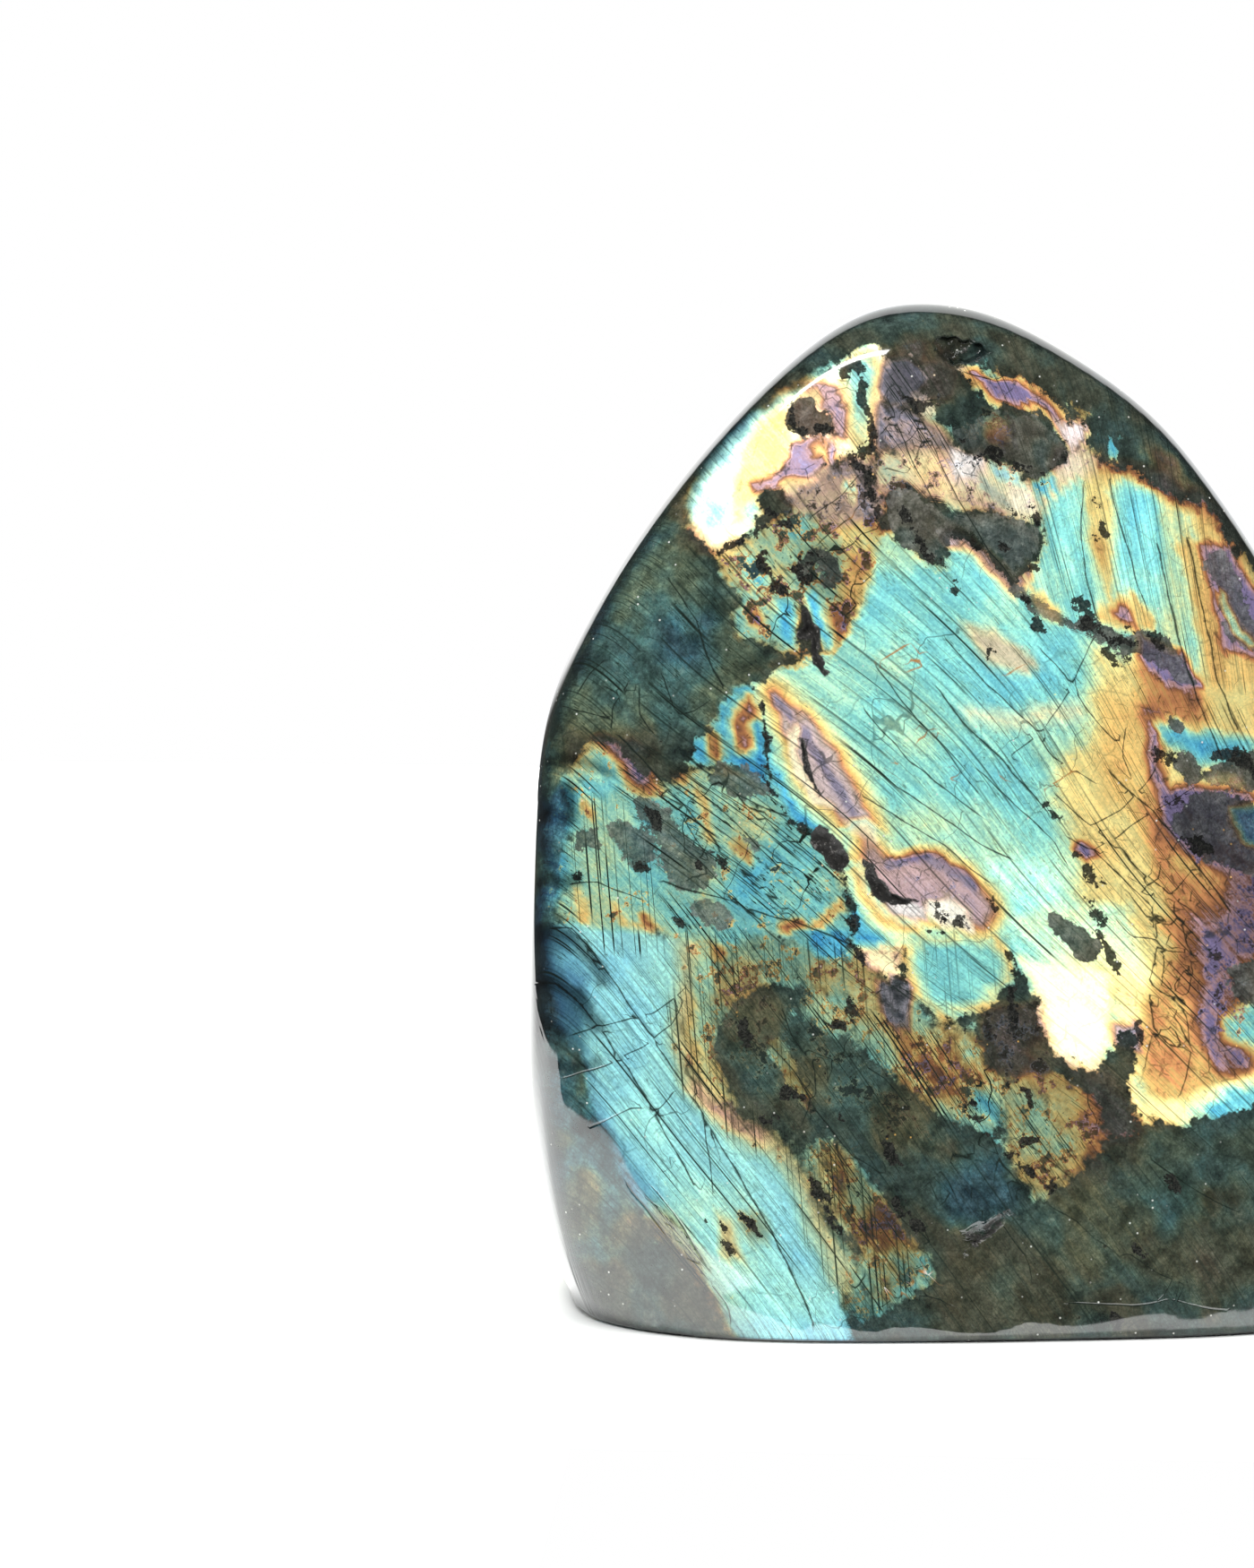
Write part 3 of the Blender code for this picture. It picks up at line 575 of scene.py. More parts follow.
def paint_crown(p):
    """The gold and rose band, the dark discs and the violet crescent below the top."""
    p.flash(((-13.5, 130.5), (-10.5, 129.5), (-7, 131), (-3, 131.5), (0, 130.3), (2.5, 131.2), (4.5, 130.2),
             (7, 129.6), (10, 128.6), (12, 127), (13.5, 126.5), (15, 127.5), (17, 129), (19, 130.5),
             (20.4, 131.5), (22.5, 130), (22, 127.5), (18.5, 126), (16.5, 124), (14.6, 122.4), (13.7, 120.6),
             (12, 120.3), (8, 121), (4, 122), (1, 122.5), (-1.5, 123.7), (-4, 124.8), (-6, 125.7),
             (-8.5, 124.7), (-9.4, 121), (-10.6, 122), (-9.6, 125), (-11.4, 128)), hue=0.70, glow=0.95,
            spots=0.6, patchy=0.35, mottle=1.3, edge=0.6, pale=0.35, fringe=0.5)
    p.tint(((-10.4, 131), (-6.6, 130), (-6, 125), (-9, 123), (-11, 126)), 1.6, hue=0.63, glow=0.8, spots=0.8)
    p.tint(((-6, 129), (0, 130), (2, 126), (0, 123.6), (-4, 125.6)), 2.4, hue=0.75, glow=1.2, pale=0.2)
    p.tint(((0.6, 131.4), (6, 130.6), (5, 126), (1, 126)), 1.8, hue=0.93, glow=1.3, pale=0.75)
    p.tint(((1, 125), (6, 124), (10, 121), (5, 121.6), (1, 123)), 1.4, hue=0.8, glow=0.85)
    p.tint(((6.4, 129.6), (10.4, 128.4), (13, 126.4), (11, 125.4), (7, 126.6)), 1.2, hue=0.44, glow=1.1,
           pale=0.3)
    p.tint(((4.8, 126.8), (8, 124.6), (10.6, 122), (9, 122), (5.4, 124.6)), 1, hue=0.6, glow=0.5, pale=0.6)
    p.tint(((9, 125.4), (13, 125), (13.4, 121.4), (10, 122)), 1.4, hue=0.72, glow=1.25, pale=0.6)
    p.tint(((12.8, 126.8), (16.4, 127), (16, 124.6), (13.4, 124)), 1, hue=0.33, glow=0.95, pale=0.0)
    p.tint(((16.4, 131), (20, 131), (20.6, 127), (17, 127)), 1.6, hue=0.74, glow=1.2, pale=0.55, spots=0.7)
    # Grey patches below it, with a violet rim towards the turquoise
    p.tint(((0.5, 118.9), (3, 117.8), (6, 114.6), (10.2, 110.8), (12.4, 112.6)), 1.2, width=2.8,
           hue=((-0.6, 0.64), (0.3, 0.76), (1.2, 0.93)), pale=0.2)
    p.grey(((-8.2, 124.4), (-6.6, 125.2), (-4.6, 124.6), (-3, 123.6), (-1.3, 122), (1, 121.4), (5, 121.4),
            (9, 120.8), (12, 120.2), (13.6, 119), (14, 117), (13, 115.2), (11.4, 113.6), (10.4, 112.4),
            (8.9, 113.6), (7, 116), (4.8, 118.4), (2.4, 119.8), (0.6, 118.8), (0, 116.6), (-1.4, 115.6),
            (-2, 114), (-3.8, 115.6), (-6, 117), (-7.5, 119), (-8, 121.6)))
    p.flash(((-0.6, 118.2), (0.6, 118.4), (2, 117), (0.6, 116), (-0.6, 116.8)), 0.6, hue=1.0, glow=1.1,
            pale=0.4)
    p.dark(((-6.2, 122), (-4.6, 119.6), (-3.4, 117), (-2.4, 115), (-0.6, 113.8)), width=0.7)
    p.dark(((8.2, 117.4), (9.4, 116.6)), ((11.8, 113.6), (13.6, 113)), ((13.2, 122.6), (13.4, 119.4)),
           ((3, 128), (4.2, 127.2)), ((9.6, 121.8), (10.6, 121.6)), width=0.75)
    # The violet crescent with its orange rim and its pale end
    p.flash(((1.5, 142.8), (4.5, 143.1), (6, 142), (8.5, 142.2), (11, 141.6), (14, 140), (16.5, 138.2),
             (18, 136.6), (18.2, 135.2), (20.5, 135.2), (21, 133.5), (20.4, 131), (18.5, 130.3),
             (17.3, 132.5), (15.4, 134.6), (14.5, 136), (13, 136.6), (10.5, 136.2), (9.5, 137), (7.5, 137.2),
             (6, 138.6), (4, 140.6)), 0.8, hue=((0, 0.80), (0.6, 0.73), (1.3, 0.98)), glow=0.95, fringe=0.3,
            spots=0.1)
    p.tint(((4, 142), (8, 141.4), (12, 139.6), (15, 136.4), (12, 137.6), (8, 138.4)), 1.4, hue=1.0, glow=0.9)
    p.tint(((16, 135.5), (18, 135), (20.6, 134.8), (20.6, 131.6), (18.4, 131), (17, 133)), 1.4, hue=0.95,
           glow=1.5, pale=0.5)
    p.tint(((9.6, 137), (12, 137.8), (14.6, 137), (15.2, 135.4), (12, 135.4)), 0.9, hue=0.70, glow=1.1)
    p.flash(((5.4, 144.6), (5.2, 143), (6.4, 141.8), (7.8, 141.6), (8.4, 143), (7.6, 144.6), (7.2, 143)), 0.7,
            hue=0.52, glow=0.7)
    p.grey(((1.8, 133.2), (4.5, 135.7), (8, 136.1), (12, 135.7), (15, 134.4), (17, 132.3), (17.9, 130.8),
            (17, 129), (15.3, 127.6), (13.5, 126.8), (11, 128.6), (8, 129.4), (5.6, 130.4), (3, 131.2),
            (1.6, 132)))
    p.tint(((1.6, 132.6), (4, 135.8), (8, 136.2), (10.4, 135), (10, 131), (12, 129), (7, 129), (3, 131)), 1.2,
           shade=0.6, spots=1.0)
    p.tint(((5.4, 134.6), (7.4, 135.6), (9.2, 134.2), (8.8, 132.4), (6.8, 131.8), (5.4, 133)), 1.4, hue=0.7,
           veil=0.9, shade=0.85)
    p.dark(((3, 131.2), (6, 130.1), (9, 129.2), (12, 128.4), (13.5, 127), (15.4, 127.8), (17.4, 130)),
           ((2.2, 132.4), (4, 132)), ((5.8, 131.4), (7.4, 131)), width=0.85)
    # Broken brown ground at the top, with a little gold and lilac
    p.flash(((-10, 138), (-5, 136.6), (0, 134), (1.4, 131), (-6, 130.6), (-10.4, 131)), 1.4, hue=0.87,
            glow=0.74, patchy=0.75, edge=1.6, pale=0.35, spots=0.7, lines=1.8)
    p.flash(((-10, 144), (-5, 144), (-3, 141), (-6, 138), (-10, 138)), 1.4, hue=0.93, glow=0.36, patchy=0.9,
            edge=2.0, pale=0.4, spots=0.6, lines=1.8)
    p.flash(((-5.6, 139.8), (-3.8, 139.8), (-2, 137.6), (-1.2, 135.6), (-3.4, 136.6), (-4.8, 137.8)), 0.6,
            hue=0.69, glow=0.9)
    p.tint(((-7, 143), (-4, 143), (-3.4, 140.6), (-6, 140.4)), 2, hue=1.0, veil=1.1)
    p.dark(((-3.8, 136.6), (-2.6, 137.4)), ((-5, 138.2), (-4.4, 137.6)), width=1.1)


def paint_highlit_shoulder(p):
    """The patch on the upper left that shines almost white, painted as a highlight of the flash, and the
    broken ground below it.
    """
    p.flash(((-34.5, 116), (-31, 117.5), (-27, 119), (-23, 122.5), (-20, 121.5), (-16, 120.5), (-12, 122),
             (-9.5, 120), (-10, 115), (-12, 109), (-14, 105.5), (-16.5, 100.5), (-18.5, 103), (-20.4, 108.6),
             (-22.5, 103), (-22, 100.5), (-25.5, 102), (-27, 102.5), (-30.3, 103.5), (-30.8, 107),
             (-29.5, 110.2), (-31.5, 111), (-33.5, 114)), hue=0.63, glow=0.66, spots=0.8, patchy=0.75,
            mottle=1.6, edge=0.8, fringe=0.4, lines=1.6)
    p.tint(((-25, 126), (-16, 129), (-11, 128), (-10, 122), (-16, 120), (-22, 122)), 2, hue=0.8, glow=0.5,
           veil=0.5, pale=0.4)
    p.flash(((-24, 125), (-17, 129), (-12.6, 129.4), (-10.4, 123), (-12, 120), (-18, 120), (-22, 122)), 1,
            hue=0.8, glow=0.66, pale=0.4, patchy=0.7, edge=1.2, spots=0.7)
    p.tint(((-15.6, 126.6), (-13.4, 126.4), (-12.2, 123.6), (-13.4, 123.4)), 1, hue=0.45, glow=1.0, pale=0.2)
    p.tint(((-30.5, 116), (-27.5, 115.4), (-25.6, 111), (-27.5, 110), (-30, 112)), 1.2,
           hue=((0, 0.6), (1, 0.44), (2, 0.33)), glow=0.9)
    p.tint(((-33, 115.4), (-31.2, 114.4), (-30.4, 111.8), (-32.2, 111.4)), 0.9, hue=0.68, glow=0.7)
    p.tint(((-25, 122), (-20, 121.5), (-19, 117.5), (-24, 118)), 2, hue=0.52, glow=0.7)
    p.tint(((-17.5, 120), (-12, 121), (-10.5, 116), (-14, 117)), 2, hue=0.68, glow=0.95, patchy=0.2)
    p.tint(((-14, 116), (-10, 116), (-12, 109), (-14, 106), (-16, 110)), 2, hue=0.82, glow=0.75)
    p.tint(((-21, 109.5), (-19, 109.9), (-16.6, 104), (-16.4, 100.6), (-18, 101.2), (-19.2, 105)), 0.8,
           hue=((0, 0.66), (0.6, 0.44), (1.3, 0.28)), glow=1.1, fringe=0.1, patchy=0.0, spots=0.0)
    p.tint(((-25.5, 109), (-22.5, 109), (-20.6, 104), (-20.6, 100.5), (-23, 101), (-25, 103.5)), 1,
           hue=((0, 0.6), (1, 0.42), (1.6, 0.3)), glow=1.0, patchy=0.0, spots=0.0)
    p.tint(((-30.8, 107), (-29.4, 110), (-26.6, 109), (-25.4, 106), (-26, 103), (-29.6, 103.4)), 0.8,
           hue=((0, 0.42), (0.8, 0.62), (1.5, 0.78), (2.3, 0.97)), glow=0.85, fringe=0.1, patchy=0.0)
    p.tint(((-17, 108), (-14.6, 108), (-14, 104.6), (-16, 103)), 1.4, hue=0.88, glow=0.6)
    p.grey(((-21.6, 115.4), (-18.8, 117), (-16.5, 115.4), (-15.4, 112.6), (-16.6, 109.6), (-18.2, 111.4),
            (-18.4, 114), (-20, 113.6), (-21.4, 111)), 0.9)
    p.tint(((-22, 117), (-15, 117), (-15.4, 108), (-20, 110)), 1, shade=0.65)
    p.dark(((-26.8, 116.2), (-26.2, 113.6), (-25.2, 111.4), (-23.6, 110.2)), ((-22, 113.4), (-20.6, 111.4)),
           ((-21.4, 114.6), (-19.6, 115.6), (-17.4, 114.6)), width=1.0)
    p.dark(((-33.6, 115.8), (-31, 117.1), (-28.4, 118.2), (-26.8, 119.6)),
           ((-25.8, 121.4), (-24, 121), (-23.6, 120.2)), width=0.9)
    p.flash(((-38, 121), (-37.4, 125), (-35, 129), (-31.5, 133), (-28, 136.5), (-24, 139), (-20, 141),
             (-17, 142.8), (-14, 145), (-10, 146.4), (-8.6, 144), (-9.4, 140), (-9.6, 136), (-11, 132),
             (-13, 130), (-15.4, 130), (-18, 127.6), (-20, 126), (-23.5, 124.4), (-25, 125.2), (-27, 124.6),
             (-27.8, 123), (-26.5, 121.3), (-28, 119.8), (-31, 117.2), (-33.5, 115.8), (-36, 117),
             (-37.6, 119.5)), 1.0, hue=0.62, glow=2.2, spots=0.05, lines=0.35, fringe=0.2, patchy=0.0,
            edge=0.3, pale=0.2)
    p.tint(((-39, 122), (-37.6, 126), (-35, 130), (-31.5, 134), (-28, 137.5), (-24, 140), (-20, 142.4)), 2.6,
           width=5, hue=0.5, glow=((0, 1.3), (2.5, 0.35)), lines=1.0, edge=1.2)
    p.tint(((-31, 127), (-29, 133), (-25, 137), (-22.6, 137), (-23, 131), (-25, 127), (-29, 122),
            (-31.4, 119)), 2, hue=0.695, glow=1.6, pale=0.0)
    p.tint(((-22.6, 132), (-18, 133.4), (-15.6, 130.6), (-19, 127), (-24, 125.4), (-28, 124.4),
            (-28.6, 125.8), (-24, 128)), 1.2, hue=0.975, glow=1.4, pale=0.05)
    p.tint(((-25, 126), (-20, 126.8), (-20, 125.6), (-24, 124.2)), 1, hue=0.73, glow=1.3)
    p.tint(((-19.6, 131.8), (-17.6, 132), (-17.4, 129.8), (-19.4, 130)), 1.2, hue=0.71, glow=1.4)
    p.tint(((-35, 123), (-32.6, 123), (-32.6, 119.6), (-34.4, 119.4)), 1.8, hue=0.44, glow=1.7)
    p.tint(((-29.6, 123), (-27.4, 123), (-26.8, 121), (-28.6, 120.4)), 1.4, hue=0.48, glow=1.6)
    p.tint(((-36.8, 119.4), (-35.6, 117), (-33.6, 115.6), (-31, 117.4)), 1.2, width=2.0, hue=0.76, glow=1.2)
    p.tint(((-21, 140.4), (-18, 141.6), (-15.6, 141), (-14.4, 137), (-14, 133), (-16, 131.6), (-16.6, 135),
            (-18.6, 138)), 1.2, hue=0.96, glow=1.25, pale=0.1, lines=1.0)
    p.tint(((-21.6, 139.6), (-18.6, 140.4), (-17.4, 138.4), (-19.4, 138.2)), 1, hue=0.76, glow=1.1, pale=0.2)
    p.tint(((-15.4, 143.6), (-12.6, 145.4), (-9.6, 145.4), (-9, 142), (-10, 137), (-11, 132), (-13.4, 130.6),
            (-14.4, 135)), 1.0, hue=((0, 0.74), (0.9, 0.66), (1.8, 0.46)), glow=1.1, lines=1.0, pale=0.1)
    p.grey(((-22.8, 137.4), (-21.6, 139), (-19.5, 138.4), (-17.5, 136.6), (-15.8, 134.5), (-17.5, 133),
            (-19.5, 132.4), (-21.5, 133.4), (-23, 135)), 0.8, hue=0.8, veil=0.3)
    p.dark(((-22.6, 137), (-22.2, 134.6), (-20.4, 133.2), (-18.4, 134), (-16.6, 134)), width=1.0)
    p.dark(((-14.6, 142.9), (-13.2, 143.2)), width=1.9)
    p.dark(((-12.3, 140.6), (-11.6, 138), (-10.9, 135.5), (-10.8, 133), (-11, 131.6)),
           ((-13.4, 130.6), (-12.6, 128.5), (-11.5, 127), (-10.5, 125.4), (-10, 123.5), (-9.5, 121.5),
            (-9.2, 119.8)), width=1.15)
    p.dark(((-12.2, 131.2), (-10.4, 131.8)), width=1.9)


ROSE_TONGUE = (
    (-12, 74), (-8.6, 70.8), (-5, 70.4), (-1, 71), (2.4, 69), (5, 66.6), (7.4, 63), (5.4, 60.8), (2, 62.4),
    (-2, 62.6), (-6, 60.8), (-10, 63.6), (-12.4, 68),
)
SPINDLE = (
    (-25.4, 95.6), (-22.2, 93), (-18.4, 89.2), (-14.8, 83.4), (-11.6, 78.2), (-9.8, 75), (-10.2, 71.8),
    (-13.2, 74.6), (-17.4, 78.8), (-20.6, 81.8), (-22.2, 86), (-23.8, 91),
)


def paint_contact(p):
    """The left contact of the great field: bright blue outside, then gold, then a rose-grey spindle."""
    p.tint(((-27.4, 95), (-26, 88), (-25.4, 83), (-22, 77), (-18.6, 74.4), (-16.4, 76.6), (-19.4, 79),
            (-22, 82.6), (-23.6, 87), (-24.6, 92)), 1, hue=((0, 0.30), (1.2, 0.40)), glow=1.05, fringe=0.0)
    p.tint(((-15, 70), (-14, 62), (-13.4, 58.4), (-8, 58.6), (-6, 60.6), (-9, 62.6), (-11.4, 66),
            (-12.4, 71)), 1, hue=((0, 0.26), (1.2, 0.36)), glow=1.0, fringe=0.0)
    p.tint(SPINDLE + SPINDLE[:1], 0.8, width=6.0,
           hue=((0, 0.54), (1.0, 0.61), (1.8, 0.68), (2.4, 0.76), (3.0, 0.86)), glow=1.1, fringe=0.0,
           mottle=0.4)
    p.tint(SPINDLE, 0.7, hue=((0, 0.84), (0.7, 0.93), (1.6, 0.95)), glow=1.0, spots=0.3, pale=0.4, mottle=0.5)
    p.tint(((-24.6, 94), (-21, 89.4), (-17, 83.4), (-13.4, 77.6)), 0.8, width=1.3, hue=1.0, glow=0.7,
           pale=0.2)
    p.tint(((-21.8, 90), (-22.2, 86.6), (-21.2, 82.8), (-19, 79.8), (-17, 79)), 0.8, width=1.2, hue=0.72,
           glow=1.3, pale=0.5)
    p.tint(ROSE_TONGUE + ROSE_TONGUE[:1], 0.9, width=5.6,
           hue=((0, 0.55), (0.9, 0.62), (1.6, 0.69), (2.2, 0.76), (2.8, 0.85)), glow=1.1, mottle=0.5)
    p.tint(ROSE_TONGUE, 0.9, hue=((0, 0.84), (0.8, 0.925), (2.4, 0.95)), glow=0.95, fringe=0.3, spots=0.45,
           pale=0.2, mottle=0.7)
    p.tint(((-8, 70.2), (-4, 71), (0, 70), (4, 67)), 1, width=2.0, hue=1.0, glow=0.75)
    p.tint(((-12.8, 69), (-11.8, 65.4), (-9.4, 62.2), (-6, 60.6), (-2, 61.2)), 0.9, width=2.8,
           hue=((0, 0.5), (0.7, 0.68), (1.4, 0.78)), glow=1.25, fringe=0.0, mottle=0.4)
    p.tint(((-9, 63.8), (-6.5, 64.6), (-4, 64), (-2.4, 63), (-4, 61.9), (-7, 62.2)), 0.8, hue=0.96, glow=1.3,
           pale=0.8)
    p.tint(((-2.6, 64.6), (0.4, 65.4), (3.4, 63), (4, 60.6), (0, 61.4), (-3, 62.4)), 0.9, hue=0.7, glow=1.35,
           pale=0.8, spots=0.9)
    p.dark(((-3, 60.2), (0, 60.4), (1.8, 61.4), (3, 62.4)), ((-1.6, 64.2), (0.6, 63.2), (1.6, 62.6)),
           width=1.0)
    p.dark(((-26.9, 93.6), (-26.4, 89), (-26.1, 85), (-25.8, 81), (-24.6, 79.4), (-22.6, 76.8),
            (-20.4, 75.2)), ((-14.6, 68), (-14.2, 63), (-13, 58.4), (-12.4, 55.6)), width=0.8)


def paint_white_patch(p):
    """The teal lobe and the white-hot patch low in the middle, whose white is a painted highlight of the
    flash.
    """
    p.flash(((-6, 58.4), (-3, 60), (0, 59.8), (4, 61), (6.6, 61), (9, 58), (10.4, 55.5), (10, 52.6),
             (8.5, 50.6), (6, 48.8), (2, 47.2), (-1, 47.2), (-4, 49.2), (-5.8, 53)), 1.0,
            hue=((0, 0.80), (0.8, 0.70), (1.6, 0.60), (2.4, 0.48)), glow=0.95, fringe=0.3, comb=0.7,
            spots=0.1, mottle=0.6)
    p.flash(((-13.5, 57.4), (-9, 58.6), (-6.4, 58), (-5.6, 54), (-8, 53.6), (-11, 54.8)), 0.8, hue=0.7,
            glow=1.3, fringe=0.8, pale=0.3)
    p.flash(((10.4, 57.4), (13, 56), (16, 56.4), (20, 55.6), (23, 55), (25, 54.4), (24.6, 50), (24.6, 45.6),
             (23.6, 41.6), (22, 40), (19, 40.5), (16, 42.4), (14.4, 46), (13.6, 50), (11.8, 53.6)), 1.4,
            hue=0.67, glow=((0, 1.3), (1.4, 2.4)), spots=0.1, lines=0.4)
    p.tint(((13.4, 50), (14.4, 45.6), (16.4, 42), (20, 40.4), (23, 40.6)), 0.9, width=1.6, hue=0.74, glow=1.5,
           pale=0.3)
    p.tint(((13, 44.8), (16, 41), (20, 39.8)), 0.8, width=1.4, hue=0.77, glow=1.1)
    p.tint(((24.6, 56.6), (28, 57.6), (30.2, 54), (29.6, 50), (28.6, 46.4), (26.4, 46), (25.2, 49)), 1.4,
           hue=0.66, glow=1.7)
    p.tint(((24.4, 46.4), (28.4, 47), (28.2, 43), (25, 42.6)), 1, hue=0.975, glow=1.3, pale=0.3)
    p.tint(((10.5, 62), (15, 64.4), (20, 63.6), (24, 64.4), (28, 60), (27, 55), (22, 54.6), (14, 55.4)), 2.4,
           hue=0.62, glow=1.6)


# How far the painted outlines stray, coarsely and finely: size and reach in mm, and a seed
COARSE_STRAY = (3.2, 0.7, 4.0)
FINE_STRAY = (1.3, 0.28, 9.0)


def paint_front(places):
    """Everything that the photo shows, patch over patch."""
    across, up = face_places(places)
    stray = wander(places / MM, *COARSE_STRAY) + wander(places / MM, *FINE_STRAY)
    p = Painting(across + stray[:, 0], up + stray[:, 2])
    paint_dull_zones(p)
    paint_brown_ground(p)
    paint_left(p)
    paint_lower_left(p)
    paint_main_field(p)
    paint_upper_right(p)
    paint_right_inclusions(p)
    paint_white_patch(p)
    paint_crown(p)
    paint_highlit_shoulder(p)
    paint_contact(p)
    return p.layers


# The sides and the back, which the photo doesn't show, flash more dimly in broad zones
ZONE_SIZE = 30.0               # mm
ZONE_TONE_SIZE = 1.5 * ZONE_SIZE
ZONE_EDGE = (0.08, 14.0)       # the clouds' level at a zone's edge, and mm inside it for one level more
ZONE_GLOW = 0.5
CLOUDS = (0.9, 2.0, 3)         # smoothness, scale step and number of octaves


def clouds(places, size):
    """A chance field in soft billows of a size."""
    return np.array([noise.fractal(Vector(p) / size, *CLOUDS) for p in places])


def paint_round(places):
    """The layers of the sides and the back."""
    field = clouds(places, ZONE_SIZE * MM)
    tone = np.array([noise.noise(Vector(p) / (ZONE_TONE_SIZE * MM) + Vector((7, 3, 1))) for p in places])
    layers = {name: np.full(len(places), value) for name, value in BARE.items()}
    edge, steepness = ZONE_EDGE
    layers["lit"] = steepness * (field - edge)
    layers["hue"] = 0.5 + 0.34 * tone - 0.06 * np.clip(field, -1, 1)
    layers["glow"][:] = ZONE_GLOW
    layers["veil"] = 0.18 + 0.3 * np.clip(field + 0.2, 0, 1)
    return layers


# Cleavage: the long parallel cracks are level lines of fields in mm. Above the LOWER_ZONE they draw together
# towards far points, and in it and all round the back they are parallel planes.
FAN_RADIUS = 100.0             # mm from a far point at which the spacing is true
MAIN_FOCUS = (120.0, -40.0)
STEEP_FOCUS = (50.0, 20.0)
STEEP_ZONE = (
    (-10, 150), (-10, 131), (-3, 124), (8, 120), (12, 110), (19, 105), (29, 102), (36, 96), (60, 90),
    (60, 160),
)
LOWER_ZONE = (
    (-70, 160), (-70, -10), (60, -10), (60, 24), (24, 28), (8, 44), (-12, 50), (-22, 58), (-46, 70),
    (-50, 82), (-44, 100), (-38, 122),
)
LOWER_NORMAL = np.array((0.85, 0.85, 0.53)) / math.sqrt(0.85**2 * 2 + 0.53**2)
LOWER_ALONG = np.array((0.53, 0.0, -0.85))
FAN_START = 200.0              # keeps the places along a fan's lines apart from those along the planes' lines
SEAM = (0.4, 1.6)              # mm from the seam of two fields where lines begin, and over which they come in


def fan(across, up, focus):
    """Lines that draw together towards a far point: the place across them and the place along them."""
    towards, down = focus[0] - across, focus[1] - up
    return np.arctan2(down, towards) * FAN_RADIUS, np.hypot(towards, down)


def cleavage_fields(places, front):
    """The place across the cleavage lines, the place along them and how strong they are."""
    mm = places / MM
    strand, along = mm @ LOWER_NORMAL, mm @ LOWER_ALONG
    strength = np.ones(len(places))
    across, up = face_places(places[front])
    guide = Painting(across, up)
    lower, steep = guide.depth(LOWER_ZONE), guide.depth(STEEP_ZONE)
    main_strand, main_along = fan(across, up, MAIN_FOCUS)
    steep_strand, steep_along = fan(across, up, STEEP_FOCUS)
    upper = lower < 0
    strand[front] = np.where(upper, np.where(steep > 0, steep_strand, main_strand), strand[front])
    along[front] = np.where(upper, np.where(steep > 0, steep_along, main_along) + FAN_START, along[front])
    seam = np.where(upper, np.minimum(np.abs(steep), -lower), lower)
    begin, over = SEAM
    strength[front] = smooth((seam - begin) / over)
    return strand, along, strength


